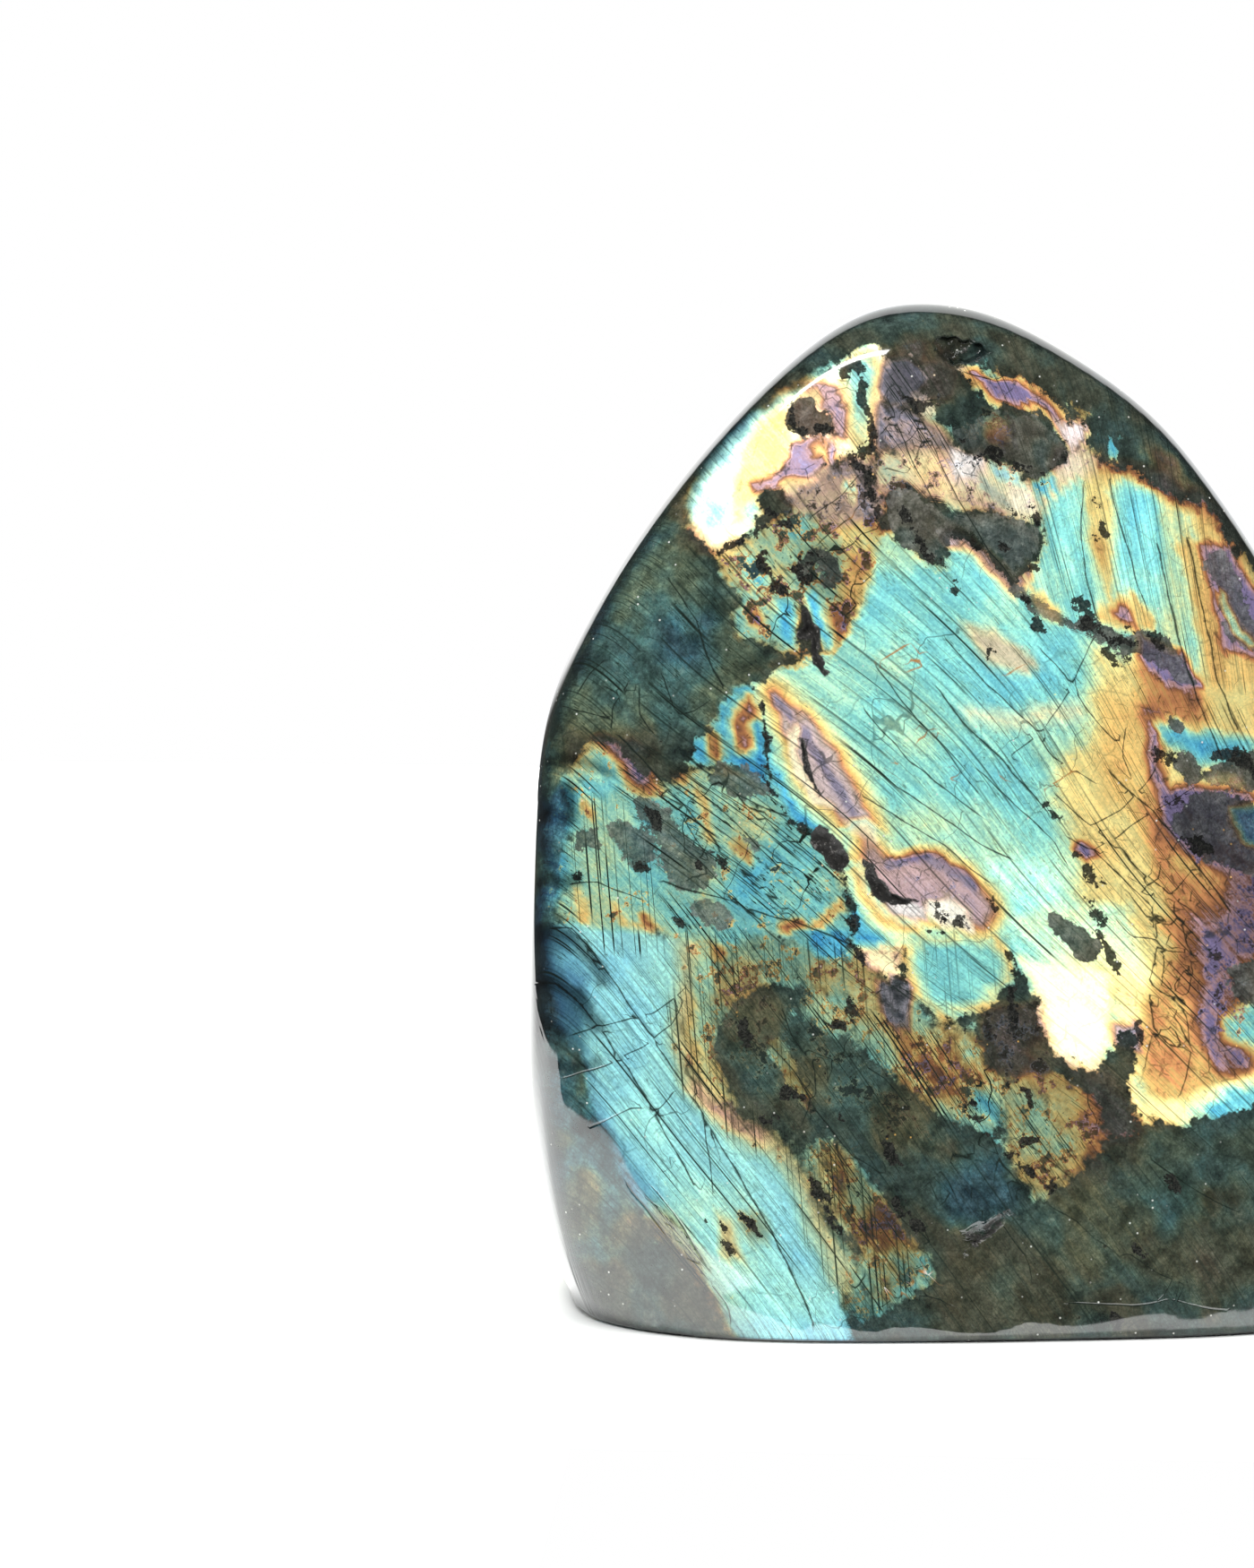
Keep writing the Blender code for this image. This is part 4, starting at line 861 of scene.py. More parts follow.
# The clearest cracks, drawn one by one in mm on the face, by how wide they look
CRACKS = (
    (0.27, (
        ((-58, 60.5), (-55, 60.8), (-51.5, 57), (-44, 46), (-38, 37), (-30.5, 24.8), (-25, 15), (-21, 7),
         (-19, 2)),
        ((-60, 52.6), (-57, 52.4), (-53, 49), (-47, 40.5), (-43, 34), (-36.5, 22.5)),
        ((-47, 23.5), (-42.5, 17.6), (-38, 11.6), (-36, 9.8)),
        ((-48, 89), (-44.4, 85.4), (-40, 80.2), (-36, 76), (-31.6, 70.6), (-24, 63.6)),
        ((-38, 86), (-33, 82), (-28.6, 79), (-23, 77)),
        ((-42, 67.6), (-37.6, 66), (-33, 65), (-26, 62.6), (-20, 61), (-14, 58.4)),
        ((-36, 103.6), (-34.2, 98.8), (-32.4, 96)),
        ((35.6, 118), (36.8, 112), (38.6, 104), (40.2, 97), (43, 90)),
        ((31, 117.4), (32.8, 110), (35.2, 100), (36.8, 95), (41, 85)),
        ((-1, 96), (3, 90.4), (8, 85.8), (13, 80), (15.6, 77)),
        ((24, 83.6), (28, 80), (31, 77.4), (34.2, 73.6), (37.6, 69.2), (42, 63)),
        ((10, 30), (14, 27.6), (18, 24.4)),
    )),
    (0.17, (
        ((-56, 38.6), (-50, 40.4), (-44, 43.4), (-40, 46.6), (-38.6, 50)),
        ((-52, 31.4), (-46, 34.2), (-42, 34), (-40, 36.6)), ((-55, 45), (-49, 46.6), (-43, 48), (-38, 52)),
        ((-42.6, 22.4), (-38.6, 17), (-35, 11)), ((-34, 8), (-32, 5), (-31.4, 2.4)),
        ((-38.6, 38), (-35.6, 33.4), (-34.6, 27), (-34.2, 22)),
        ((-41.5, 98), (-40.4, 95), (-39.4, 92), (-37, 92.4), (-34.4, 94)),
        ((-45, 96), (-44.6, 92), (-43, 89.4)), ((-54.6, 92.6), (-51.4, 92), (-49.6, 91.6)),
        ((-50, 96.2), (-47.6, 94.6), (-46.8, 95.4)), ((-46.6, 96.6), (-49, 93), (-49, 90)),
        ((-54, 95), (-52, 98.4), (-50, 100)), ((-38.6, 82.6), (-31, 76.4), (-24, 69), (-18.4, 64.6)),
        ((-34.6, 82), (-26.6, 76), (-20, 71.4), (-15.6, 67.6)),
        ((-40.6, 74.8), (-35, 69.4), (-29, 63), (-24, 58.4)), ((-43, 81.6), (-38.6, 77), (-34.6, 70.4)),
        ((-29, 79.4), (-23.6, 74), (-17.4, 69)), ((-34, 72.6), (-28, 68.4), (-21.6, 62.4)),
        ((-55, 67), (-51, 67.6), (-47, 65.6), (-44, 64.6)), ((-54, 60), (-50.6, 54.4)),
        ((-40.6, 112), (-36.6, 106), (-36, 103.6)),
        ((0.2, 103.2), (2.4, 100.4), (6, 96.4), (10.2, 92.8), (14, 89), (16, 85.6), (22, 82)),
        ((-10.6, 99.6), (-6, 93.6), (-1, 88), (2, 84.4), (5, 80.4)),
        ((-12, 93), (-9, 89.4), (-5, 85.2), (0, 81), (5.4, 77)),
        ((4.4, 84.2), (7, 82), (11, 78), (16, 73.4), (18, 70)),
        ((14, 101.6), (18, 97.4), (21, 92.4), (26, 87)),
        ((15.8, 80.6), (20, 77), (25, 72.4), (30, 68), (38, 61.6)),
        ((18, 74), (22, 71.8), (28, 66.4), (33, 61)),
        ((-12, 85.4), (-7, 81.4), (-1, 77.4), (5, 73), (10, 70.6)),
        ((-12, 80), (-5, 75.6), (0, 72.8), (6.4, 67.4)),
        ((9.8, 86), (14.4, 89.6), (19, 96.8), (20.2, 100), (22, 103.4)),
        ((21, 71.6), (25, 73.8), (29, 76.8), (33, 79), (37, 81.4)),
        ((22, 76), (26, 78), (29, 81.4), (31, 84)),
        ((31.4, 49), (32, 54), (32.4, 58), (34.2, 62.2), (36.4, 60)),
        ((33, 46.6), (34.4, 49.4), (33.8, 52.4), (37, 57)), ((33.8, 62), (33.6, 66), (36.8, 69.4)),
        ((30, 45), (33.4, 46.4), (35, 43)), ((33, 61), (29.6, 62.4), (27, 66)),
        ((26.4, 90), (26, 86), (27.2, 83)),
        ((-3.4, 135.4), (-1, 129.6), (2, 123.4), (5.6, 117.4), (9.8, 112)),
        ((-8.6, 139), (-6.6, 133.4), (-3.4, 126.6), (-1, 122.4)), ((-5, 137), (-4, 133.4), (-3, 131)),
        ((-9.6, 133), (-8.2, 135), (-5, 137.6), (-1, 138.4)), ((-8.8, 128.4), (-5.6, 127.4), (-4, 129.6)),
        ((-20, 121), (-15, 124.4), (-12.4, 127.4)), ((-18.6, 117), (-14.6, 120.6), (-11, 124)),
        ((20.4, 126), (20, 118), (20.6, 112), (22.4, 106)), ((24, 127), (26, 119), (28.4, 111), (30, 106.6)),
        ((-10, 30.4), (-8, 26.4), (-6, 24)), ((-26, 44), (-22, 39.4), (-18.6, 33.4), (-13.4, 27)),
        ((-14, 44.6), (-16.6, 40), (-18, 36)), ((-12, 40.4), (-8.6, 38.4), (-5.4, 34.4)),
        ((3, 28), (1.6, 23), (-0.4, 20)), ((7, 30), (9, 24), (10, 20)), ((5.4, 27), (5.2, 22), (5.6, 18)),
        ((27, 12.8), (31, 10), (35, 8.4)), ((18, 5.6), (28, 5.2), (33, 6), (41, 4.4)),
        ((20, 17), (22.6, 14.6), (26, 12)), ((-10, 4.6), (-6.6, 6.8), (-1.6, 6.6), (0.6, 5.4)),
        ((15, 20), (19, 18), (22, 15)), ((30, 27), (36, 22.6), (43, 19)), ((4.2, 31), (4.4, 26), (3.6, 20.4)),
        ((2.2, 31.4), (0.6, 26), (-3.6, 22)), ((6.4, 30.6), (8.2, 26.6), (11.6, 22.4)),
        ((-1, 17), (-3, 13.6), (-4.4, 9.6), (-5, 5)), ((8.6, 17), (12, 12.4), (13, 8)),
        ((-8, 22), (-6.4, 17.6), (-2, 15.2)), ((-24, 49), (-22.4, 44.4), (-19.4, 40.6)),
        ((-21, 43), (-17, 41.4), (-12, 41.8)), ((-19.4, 40.6), (-18.8, 36), (-21, 32)),
        ((-16.6, 30.4), (-14.6, 24.4), (-13.4, 18.4)), ((-13, 27), (-9.6, 24.6), (-6.6, 24.4)),
        ((31.6, 69.6), (30.4, 64.4), (31.4, 58.4), (29.8, 52.4), (30.6, 46), (29.4, 40)),
        ((36.2, 66), (35, 60.6), (36.4, 54.4), (35.2, 49), (36.2, 42), (34.6, 36)),
        ((31.4, 58.4), (33.6, 57), (36.2, 57.4)), ((30, 52.4), (33, 50.6), (35.4, 50.4)),
        ((30.6, 46), (33.2, 43.2), (36.2, 43)), ((26, 72.4), (29, 68.6), (30.6, 64.8)),
        ((25, 62), (27.6, 59.4), (31, 59)),
    )),
)
# Needles of orange-brown mineral in the turquoise, and white scratches in the foot
NEEDLES = (
    ((-9.4, 100.2), (-5.2, 102.4)), ((-5.4, 100.6), (-2.8, 101.2)), ((-5.6, 98.4), (-3.6, 99)),
    ((-4, 88.2), (-1.6, 89.6)), ((7, 82.4), (8.6, 83.2)), ((14.6, 81), (19, 83.8)), ((9, 97.8), (11.8, 99.4)),
    ((-7.6, 85), (-6, 84.6)), ((0.6, 82.6), (1.8, 83)), ((-16, 119), (-13.6, 121)),
)
SCRATCHES = (
    ((-5.4, 9.7), (-2.2, 9.5)), ((-9.2, 7.9), (-6.6, 7.8)),
)
NEEDLE_WIDTH, SCRATCH_WIDTH = 0.22, 0.15
DARK_TONE, NEEDLE_TONE, SCRATCH_TONE = 0.0, 0.5, 1.0
CRACK_STRAY = (3.4, 0.3, 2.0)      # size and reach in mm, and a seed
CRACK_REACH = 1.3                  # mm beside a crack at which it no longer counts
CRACK_END = 0.5                    # mm past its end over which it fades
NO_CRACK = {"crack_side": 9.0, "crack_sure": 0.0, "crack_wide": 0.3, "crack_tone": DARK_TONE}


def crack_fields(places, front):
    """The place across the nearest drawn crack in mm, how surely there is one, its width and its tone."""
    across, up = face_places(places[front])
    stray = wander(places[front] / MM, *CRACK_STRAY)
    across, up = across + stray[:, 0], up + stray[:, 2]
    drawn = [(crack, width, DARK_TONE) for width, cracks in CRACKS for crack in cracks]
    drawn += [(crack, NEEDLE_WIDTH, NEEDLE_TONE) for crack in NEEDLES]
    drawn += [(crack, SCRATCH_WIDTH, SCRATCH_TONE) for crack in SCRATCHES]
    signed, past, wide, tone = (np.full(len(across), NO_CRACK[name]) for name in NO_CRACK)
    nearest = signed.copy()
    for crack, width, crack_tone in drawn:
        for number, ((ax, ay), (bx, by)) in enumerate(zip(crack, crack[1:])):
            run, rise = bx - ax, by - ay
            length = math.hypot(run, rise)
            reached = ((across - ax) * run + (up - ay) * rise) / length
            share = np.clip(reached / length, 0, 1)
            off_x, off_y = across - ax - share * run, up - ay - share * rise
            off = np.hypot(off_x, off_y)
            closer = off < nearest
            nearest = np.where(closer, off, nearest)
            before = np.maximum(-reached, 0) if number == 0 else 0
            after = np.maximum(reached - length, 0) if number == len(crack) - 2 else 0
            past = np.where(closer, before + after, past)
            signed = np.where(closer, np.sign(run * off_y - rise * off_x) * off, signed)
            wide, tone = np.where(closer, width, wide), np.where(closer, crack_tone, tone)
    sure = (1 - smooth(nearest / CRACK_REACH - 0.3)) * (1 - smooth(past / CRACK_END))
    fields = {}
    for name, values in zip(NO_CRACK, (signed, sure, wide, tone)):
        fields[name] = np.full(len(places), NO_CRACK[name])
        fields[name][front] = values
    return fields


# How squarely the skin faces the photo's side: 1 is straight at it, 0 is edge on, and below 0 is the back
FRONT_IN = (0.12, 0.42)                         # over which the painted front comes in
SHOULDER_OUT = (0.42, 0.88)                     # over which the front stops being a shoulder
SHOULDER_BACK = 0.3                             # and how far past the edge the back does
SHOULDER_SHADE_GLOW, SHOULDER_SHADE_VEIL = 0.16, 0.35       # what is left of the colours under the painted shade on the shoulders
SHOULDER_SHADE_BLUER = 0.14                           # how far the hue goes towards blue there
BLUEST = 0.3                                    # a hue that goes no further
SLOW_SIZE = 9.0                                 # mm, the size of the slowest changes of colour
SLOW_REACH = 0.42
BEND_SIZE = (34.0, 46.0)                        # mm across and along, over which cleavage lines bend
BEND_REACH = 3.0                                # mm


def paint_stone(stone):
    """Works the hollows into the stone's mesh, and paints its layers as attributes."""
    mesh = stone.data
    heal_hollows(mesh)
    pit = sink_pits(mesh)
    places = vertex_places(mesh)
    mm = places / MM
    towards = np.array(camera_place()) - places
    towards /= np.linalg.norm(towards, axis=1)[:, None]
    facing = (vertex_normals(mesh) * towards).sum(1)
    front = np.flatnonzero(facing > 0.0)
    layers = paint_round(places)
    share = smooth((facing[front] - FRONT_IN[0]) / (FRONT_IN[1] - FRONT_IN[0]))
    for name, values in paint_front(places[front]).items():
        layers[name][front] += share * (values - layers[name][front])
    # Painted shade: the flash dims and turns bluer where the skin turns away from the front round the
    # shoulders
    full = smooth(np.where(facing > 0, (facing - SHOULDER_OUT[0]) / (SHOULDER_OUT[1] - SHOULDER_OUT[0]),
                           -facing / SHOULDER_BACK))
    layers["glow"] *= SHOULDER_SHADE_GLOW + (1 - SHOULDER_SHADE_GLOW) * full
    layers["veil"] *= SHOULDER_SHADE_VEIL + (1 - SHOULDER_SHADE_VEIL) * full
    layers["hue"] -= np.where(facing > 0, SHOULDER_SHADE_BLUER * (1 - full) * (layers["hue"] > BLUEST), 0)
    strand, along, strength = cleavage_fields(places, front)
    layers["lines"] *= strength
    layers["slow"] = 0.5 + SLOW_REACH * clouds(mm, SLOW_SIZE)
    strand += BEND_REACH * np.array([noise.noise(Vector((a / BEND_SIZE[0], b / BEND_SIZE[1], 8.0)))
                                     for a, b in zip(strand, along)])
    layers.update(crack_fields(places, front), strand=strand, along=along, pit=pit, shoulder=1 - full)
    for name, values in layers.items():
        layer = mesh.attributes.new(name, "FLOAT", "POINT")
        layer.data.foreach_set("value", values.astype(np.float32))


# Shading

class Shading:
    """Short ways to add nodes to one tree and join them."""

    def __init__(self, tree):
        self.tree = tree

    def node(self, kind, **settings):
        node = self.tree.nodes.new(kind)
        for name, value in settings.items():
            setattr(node, name, value)
        return node

    def feed(self, socket, value):
        if isinstance(value, bpy.types.NodeSocket):
            self.tree.links.new(value, socket)
        else:
            socket.default_value = value

    def math(self, operation, *values):
        node = self.node("ShaderNodeMath", operation=operation)
        for socket, value in zip(node.inputs, values):
            self.feed(socket, value)
        return node.outputs[0]

    def chain(self, operation, total, *values):
        for value in values:
            total = self.math(operation, total, value)
        return total

    def add(self, *values):
        return self.chain("ADD", *values)

    def times(self, *values):
        return self.chain("MULTIPLY", *values)

    def most(self, *values):
        return self.chain("MAXIMUM", *values)

    def less(self, a, b):
        return self.math("SUBTRACT", a, b)

    def size(self, value):
        return self.math("ABSOLUTE", value)

    def rise(self, value, low, high, bottom=0.0, top=1.0):
        """Goes smoothly from bottom to top as value goes from low to high."""
        node = self.node("ShaderNodeMapRange", interpolation_type="SMOOTHSTEP")
        for socket, given in zip(node.inputs, (value, low, high, bottom, top)):
            self.feed(socket, given)
        return node.outputs[0]

    def fall(self, value, low, high):
        """Goes smoothly from 1 to 0 as value goes from low to high."""
        return self.rise(value, low, high, 1.0, 0.0)

    def between(self, share, none, full):
        """Goes smoothly from none to full as a share goes from 0 to 1."""
        return self.rise(share, 0.0, 1.0, none, full)

    def sway(self, chance, reach):
        """A chance field about 0.5, as a shift to both sides."""
        return self.times(self.less(chance, 0.5), reach)

    def painted(self, name):
        return self.node("ShaderNodeAttribute", attribute_name=name).outputs["Fac"]

    def vector(self, x, y, z=0.0):
        node = self.node("ShaderNodeCombineXYZ")
        for socket, value in zip(node.inputs, (x, y, z)):
            self.feed(socket, value)
        return node.outputs[0]

    def axes(self, vector):
        node = self.node("ShaderNodeSeparateXYZ")
        self.feed(node.inputs[0], vector)
        return node.outputs

    def channels(self, colour):
        node = self.node("ShaderNodeSeparateColor")
        self.feed(node.inputs[0], colour)
        return node.outputs

    def noise(self, place, scale, detail=2.0, roughness=0.5, output="Fac"):
        node = self.node("ShaderNodeTexNoise")
        given = {"Vector": place, "Scale": scale, "Detail": detail, "Roughness": roughness}
        for name, value in given.items():
            self.feed(node.inputs[name], value)
        return node.outputs[output]

    def cells(self, place, scale, feature):
        node = self.node("ShaderNodeTexVoronoi", feature=feature)
        self.feed(node.inputs["Vector"], place)
        self.feed(node.inputs["Scale"], scale)
        return node.outputs

    def ramp(self, value, stops):
        node = self.node("ShaderNodeValToRGB")
        elements = node.color_ramp.elements
        while len(elements) < len(stops):
            elements.new(1.0)
        for element, (place, colour) in zip(elements, stops):
            element.position = place
            element.color = (*colour, 1.0)
        self.feed(node.inputs[0], value)
        return node.outputs[0]

    def mix(self, share, a, b, blend="MIX"):
        node = self.node("ShaderNodeMix", data_type="RGBA", blend_type=blend)
        self.feed(node.inputs[0], share)
        for socket, value in ((node.inputs[6], a), (node.inputs[7], b)):
            self.feed(socket, value if isinstance(value, bpy.types.NodeSocket) else (*value, 1.0))
        return node.outputs[2]

    def dim(self, colour, level):
        """A colour times a level of light."""
        return self.mix(1.0, colour, self.vector(level, level, level), "MULTIPLY")


def linear(red, green, blue):
    """A colour as a screen shows it, 0 to 255, as the light it stands for."""
    return tuple(((c / 255 + 0.055) / 1.055) ** 2.4 if c > 10 else c / 255 / 12.92 for c in (red, green,
                                                                                             blue))


def group(name, inputs, outputs):
    """An empty node group with float sockets, and the shading that fills it."""
    tree = bpy.data.node_groups.new(name, "ShaderNodeTree")
    for socket in inputs:
        tree.interface.new_socket(name=socket, in_out="INPUT", socket_type="NodeSocketFloat")
    for socket in outputs:
        tree.interface.new_socket(name=socket, in_out="OUTPUT", socket_type="NodeSocketFloat")
    s = Shading(tree)
    return s, s.node("NodeGroupInput").outputs, s.node("NodeGroupOutput").inputs


def placed(s, tree, **inputs):
    """Places a node group and gives its output sockets."""
    node = s.node("ShaderNodeGroup", node_tree=tree)
    for name, value in inputs.items():
        s.feed(node.inputs[name.replace("_", " ")], value)
    return node.outputs


LINE_ROOM = (0.15, 0.85)        # where in its band a line may lie
LINE_THINNEST = 0.3             # the width of the thinnest line, as a share of the widest
LINE_CORE = 0.35                # the share of a line's width that is fully dark
LINE_BREAKS = (0.42, 0.56)      # levels of the chance field between which a line breaks off


def cleavage_group():
    """Dark lines that run along a field: one to each band of it, at a chance place and of a chance width."""
    s, given, made = group("cleavage_lines", ("Across", "Along", "Spacing", "Width", "Length", "Seed"),
                           ("Line",))
    bands = s.math("DIVIDE", given["Across"], given["Spacing"])
    band = s.math("FLOOR", bands)
    chance = s.node("ShaderNodeTexWhiteNoise", noise_dimensions="2D")
    s.feed(chance.inputs["Vector"], s.vector(band, given["Seed"]))
    drawn = s.channels(chance.outputs["Color"])
    off = s.times(s.size(s.less(s.less(bands, band), s.between(drawn[0], *LINE_ROOM))), given["Spacing"])
    width = s.times(given["Width"], s.rise(drawn[1], 0.2, 1.0, LINE_THINNEST, 1.0))
    along = s.math("DIVIDE", given["Along"], given["Length"])
    broken = s.noise(s.vector(s.times(band, 7.3), along, given["Seed"]), 1.0, 1.0, 0.7)
    s.feed(made["Line"], s.times(s.fall(off, s.times(width, LINE_CORE), width), s.rise(broken, *LINE_BREAKS)))
    return s.tree


# Colours, most of them as ramps over a hue or a chance field
FLASH_COLOURS = (
    (0.00, linear(26, 22, 34)), (0.10, linear(92, 80, 128)), (0.18, linear(38, 80, 140)),
    (0.27, linear(56, 150, 212)), (0.38, linear(104, 198, 220)), (0.49, linear(142, 219, 208)),
    (0.59, linear(194, 234, 190)), (0.68, linear(240, 228, 152)), (0.76, linear(236, 196, 118)),
    (0.83, linear(214, 146, 94)), (0.89, linear(146, 98, 72)), (0.945, linear(206, 164, 166)),
    (1.00, linear(138, 126, 166)),
)
DULL_COLOURS = (
    (0.30, linear(20, 25, 24)), (0.42, linear(42, 50, 45)), (0.50, linear(56, 65, 59)),
    (0.58, linear(46, 58, 56)), (0.70, linear(82, 88, 78)),
)
GREY_COLOURS = ((0.34, linear(40, 44, 42)), (0.5, linear(80, 84, 80)), (0.66, linear(122, 124, 118)))
CRACK_COLOURS = ((0.0, linear(22, 32, 27)), (0.5, linear(176, 120, 60)), (1.0, linear(226, 230, 226)))
DARK_COLOURS = ((0.42, linear(17, 19, 18)), (0.7, linear(56, 56, 52)))
# The hollows: painted shade, near black, with pale painted glints
PIT_SHADE_AND_GLINT_COLOURS = ((0.35, linear(16, 16, 16)), (0.56, linear(44, 43, 41)), (0.70, linear(150, 146, 142)))
MOSS_COLOUR = linear(46, 53, 39)
SPECK_COLOUR = linear(24, 24, 22)
LIT_SPECK_COLOUR = linear(40, 36, 33)
LINE_COLOUR = linear(24, 36, 30)
DUST_COLOUR = linear(214, 216, 210)
GOLD_FLECK_COLOUR = linear(228, 178, 92)

# Chance fields: scale, detail and roughness. The first five are per mm, and the last two run along the
# cleavage.
SOFT = (0.6, 4.0, 0.7)
GRAIN = (2.2, 2.0, 0.8)
SPECK = (0.36, 4.0, 0.72)
DOTS = (1.2, 3.0, 0.6)
CLOUDY = (0.2, 5.0, 0.72)
STREAK = (1.0, 4.0, 0.8)
STEPS = (1.0, 2.0, 0.7)

# Kinds of lines: spacing, width and length in mm, and a seed
COARSE_LINES = (3.7, 0.16, 30.0, 1.0)
MIDDLE_LINES = (1.5, 0.13, 19.0, 5.0)
FINE_LINES = (0.55, 0.11, 12.0, 9.0)
CROSS_LINES = (9.0, 0.2, 11.0, 13.0)
COMB_LINES = (0.72, 0.2, 26.0, 17.0)

# Webs of cracks per mm, how far they bend in mm, and flecks of dust per mm
VEIN_SCALE, CRAZE_SCALE, WEB_BEND_SCALE, WEB_BEND = 0.11, 0.27, 0.3, (2.0, 2.0, 2.0)
DUST_SCALE = 0.9

POLISH = 0.045                    # roughness of the sound skin
STONE_IOR = 1.56
BUMP_STRENGTH = 0.35
BUMP_DISTANCE = 0.2 * MM


def stone_material():
    """Flash and dull stone side by side, with specks, inclusions, cleavage, cracks, hollows and dust."""
    material = bpy.data.materials.new(SLOT)
    material.use_nodes = True
    s = Shading(material.node_tree)
    surface = material.node_tree.nodes["Principled BSDF"]
    scaled = s.node("ShaderNodeVectorMath", operation="SCALE")
    s.feed(scaled.inputs[0], s.node("ShaderNodeTexCoord").outputs["Object"])
    scaled.inputs["Scale"].default_value = 1 / MM
    place = scaled.outputs[0]
    lit, grey, hue, glow, veil, fringe, spots = (
        s.painted(name) for name in ("lit", "grey", "hue", "glow", "veil", "fringe", "spots"))
    strand, along, lines, slow, patchy, edge = (
        s.painted(name) for name in ("strand", "along", "lines", "slow", "patchy", "edge"))

    # Chance fields: even ones, and ones drawn out along the cleavage
    soft, grain, speck, cloudy = (s.noise(place, *field) for field in (SOFT, GRAIN, SPECK, CLOUDY))
    streak = s.noise(s.vector(s.times(strand, 0.9), s.times(along, 0.035), 21.0), *STREAK)
    steps = s.noise(s.vector(s.times(strand, 0.5), s.times(along, 0.14), 3.0), *STEPS)

    # Ragged edges, and gaps in the patchy zones
    stray = s.add(s.sway(soft, 4.6), s.sway(steps, 3.0))
    lit_depth = s.add(s.math("MINIMUM", lit, s.between(patchy, 6.0, 0.8)),
                      s.times(stray, s.between(patchy, 1.0, 1.5)))
    lit_share = s.rise(lit_depth, s.times(edge, -1.0), edge)
    grey_share = s.rise(s.add(grey, s.times(stray, 0.8)), -0.15, 0.15)
    rim = s.times(s.fall(lit_depth, 0.0, s.add(0.8, s.times(edge, 1.4))), fringe,
                  s.rise(slow, 0.36, 0.6, 0.2, 1.0))

    # Dark specks with warm rims, and small dark dots
    over = s.less(speck, s.between(spots, 0.76, 0.545))
    speck_core = s.rise(over, 0.0, 0.025)
    speck_rim = s.times(s.rise(over, -0.05, 0.0), s.fall(over, 0.0, 0.025))
    dots = s.rise(s.less(s.noise(place, *DOTS), s.between(spots, 0.76, 0.64)), 0.0, 0.03)

    # Lines: cleavage, an upright comb, hairs, webs of veins and crazing, and the drawn cracks
    cleavage = cleavage_group()

    def cleaved(across, down, spacing, width, length, seed):
        return placed(s, cleavage, Across=across, Along=down, Spacing=spacing, Width=width, Length=length,
                      Seed=seed)["Line"]

    coarse, middle, fine = (cleaved(strand, along,
                                    *kind) for kind in (COARSE_LINES, MIDDLE_LINES, FINE_LINES))
    cross = cleaved(s.add(along, s.times(strand, 0.5), s.times(slow, 14.0)), strand, *CROSS_LINES)
    sides = s.axes(place)
    comb = cleaved(s.add(sides["X"], s.times(sides["Z"], 0.1)), sides["Z"], *COMB_LINES)
    hair = s.times(s.fall(s.size(s.less(streak, 0.5)), 0.003, 0.016), s.rise(soft, 0.42, 0.56))
    bend = s.noise(place, WEB_BEND_SCALE, 1.0, output="Color")
    bent = s.node("ShaderNodeVectorMath", operation="MULTIPLY_ADD")
    for socket, value in zip(bent.inputs, (bend, WEB_BEND, place)):
        s.feed(socket, value)
    veins, crazed = (s.cells(bent.outputs[0], scale, "DISTANCE_TO_EDGE")["Distance"]
                     for scale in (VEIN_SCALE, CRAZE_SCALE))
    veins = s.times(s.fall(veins, 0.004, 0.022), s.rise(speck, 0.44, 0.56))
    crazed = s.times(s.fall(crazed, 0.008, 0.04), s.rise(soft, 0.44, 0.56))
    crack_side, crack_sure = s.size(s.painted("crack_side")), s.painted("crack_sure")
    crack_width = s.times(s.painted("crack_wide"), s.rise(soft, 0.3, 0.7, 0.5, 1.5))
    crack = s.times(s.fall(crack_side, 0.0, crack_width), crack_sure)

    # Colour of the flash
    give = s.times(s.rise(hue, 0.6, 0.78, 1.0, 0.5), s.painted("mottle"))
    shift = s.add(s.sway(slow, 0.22), s.sway(streak, 0.24), s.sway(grain, 0.10), s.sway(soft, 0.12),
                  s.times(rim, 0.26), s.times(speck_rim, 0.2))
    flash = s.ramp(s.add(hue, s.times(shift, give)), FLASH_COLOURS)
    level = s.times(glow, s.rise(streak, 0.25, 0.75, 0.66, 1.18), s.rise(grain, 0.25, 0.75, 0.8, 1.14),
                    s.between(rim, 1.0, 0.72))
    bright = s.dim(flash, level)
    washed = s.times(level, 0.84)
    bright = s.mix(s.painted("pale"), bright, s.vector(washed, washed, s.times(washed, 0.94)))
    # Painted highlight: the brightest flash is painted burnt out to white
    bright = s.mix(s.rise(level, 1.3, 3.0), bright, (1.0, 1.0, 1.0))

    # Dull stone, with a veil of the flash in it
    dull = s.ramp(cloudy, DULL_COLOURS)
    dull = s.mix(s.rise(slow, 0.5, 0.75, 0.0, 0.3), dull, MOSS_COLOUR)
    tinge = s.times(veil, 0.42, s.rise(cloudy, 0.34, 0.62, 0.35, 1.0), s.rise(streak, 0.3, 0.7, 0.6, 1.3))
    dull = s.mix(1.0, dull, s.dim(flash, tinge), "ADD")
    rough = s.times(s.rise(grain, 0.3, 0.7, 0.66, 1.16), s.rise(speck, 0.35, 0.65, 0.66, 1.2),
                    s.rise(soft, 0.36, 0.64, 0.84, 1.12))
    dull = s.mix(s.times(speck_core, 0.8), s.dim(dull, rough), SPECK_COLOUR)

    # Flash, dull stone, specks and grey inclusions laid together
    colour = s.mix(lit_share, dull, bright)
    colour = s.mix(s.times(speck_core, lit_share, 0.9), colour, LIT_SPECK_COLOUR)
    colour = s.mix(s.times(dots, 0.85), colour, SPECK_COLOUR)
    ashes = s.ramp(s.add(s.times(cloudy, 0.6), s.times(soft, 0.4)), GREY_COLOURS)
    colour = s.mix(grey_share, colour, s.dim(s.mix(s.times(veil, 0.4), ashes, flash), rough))

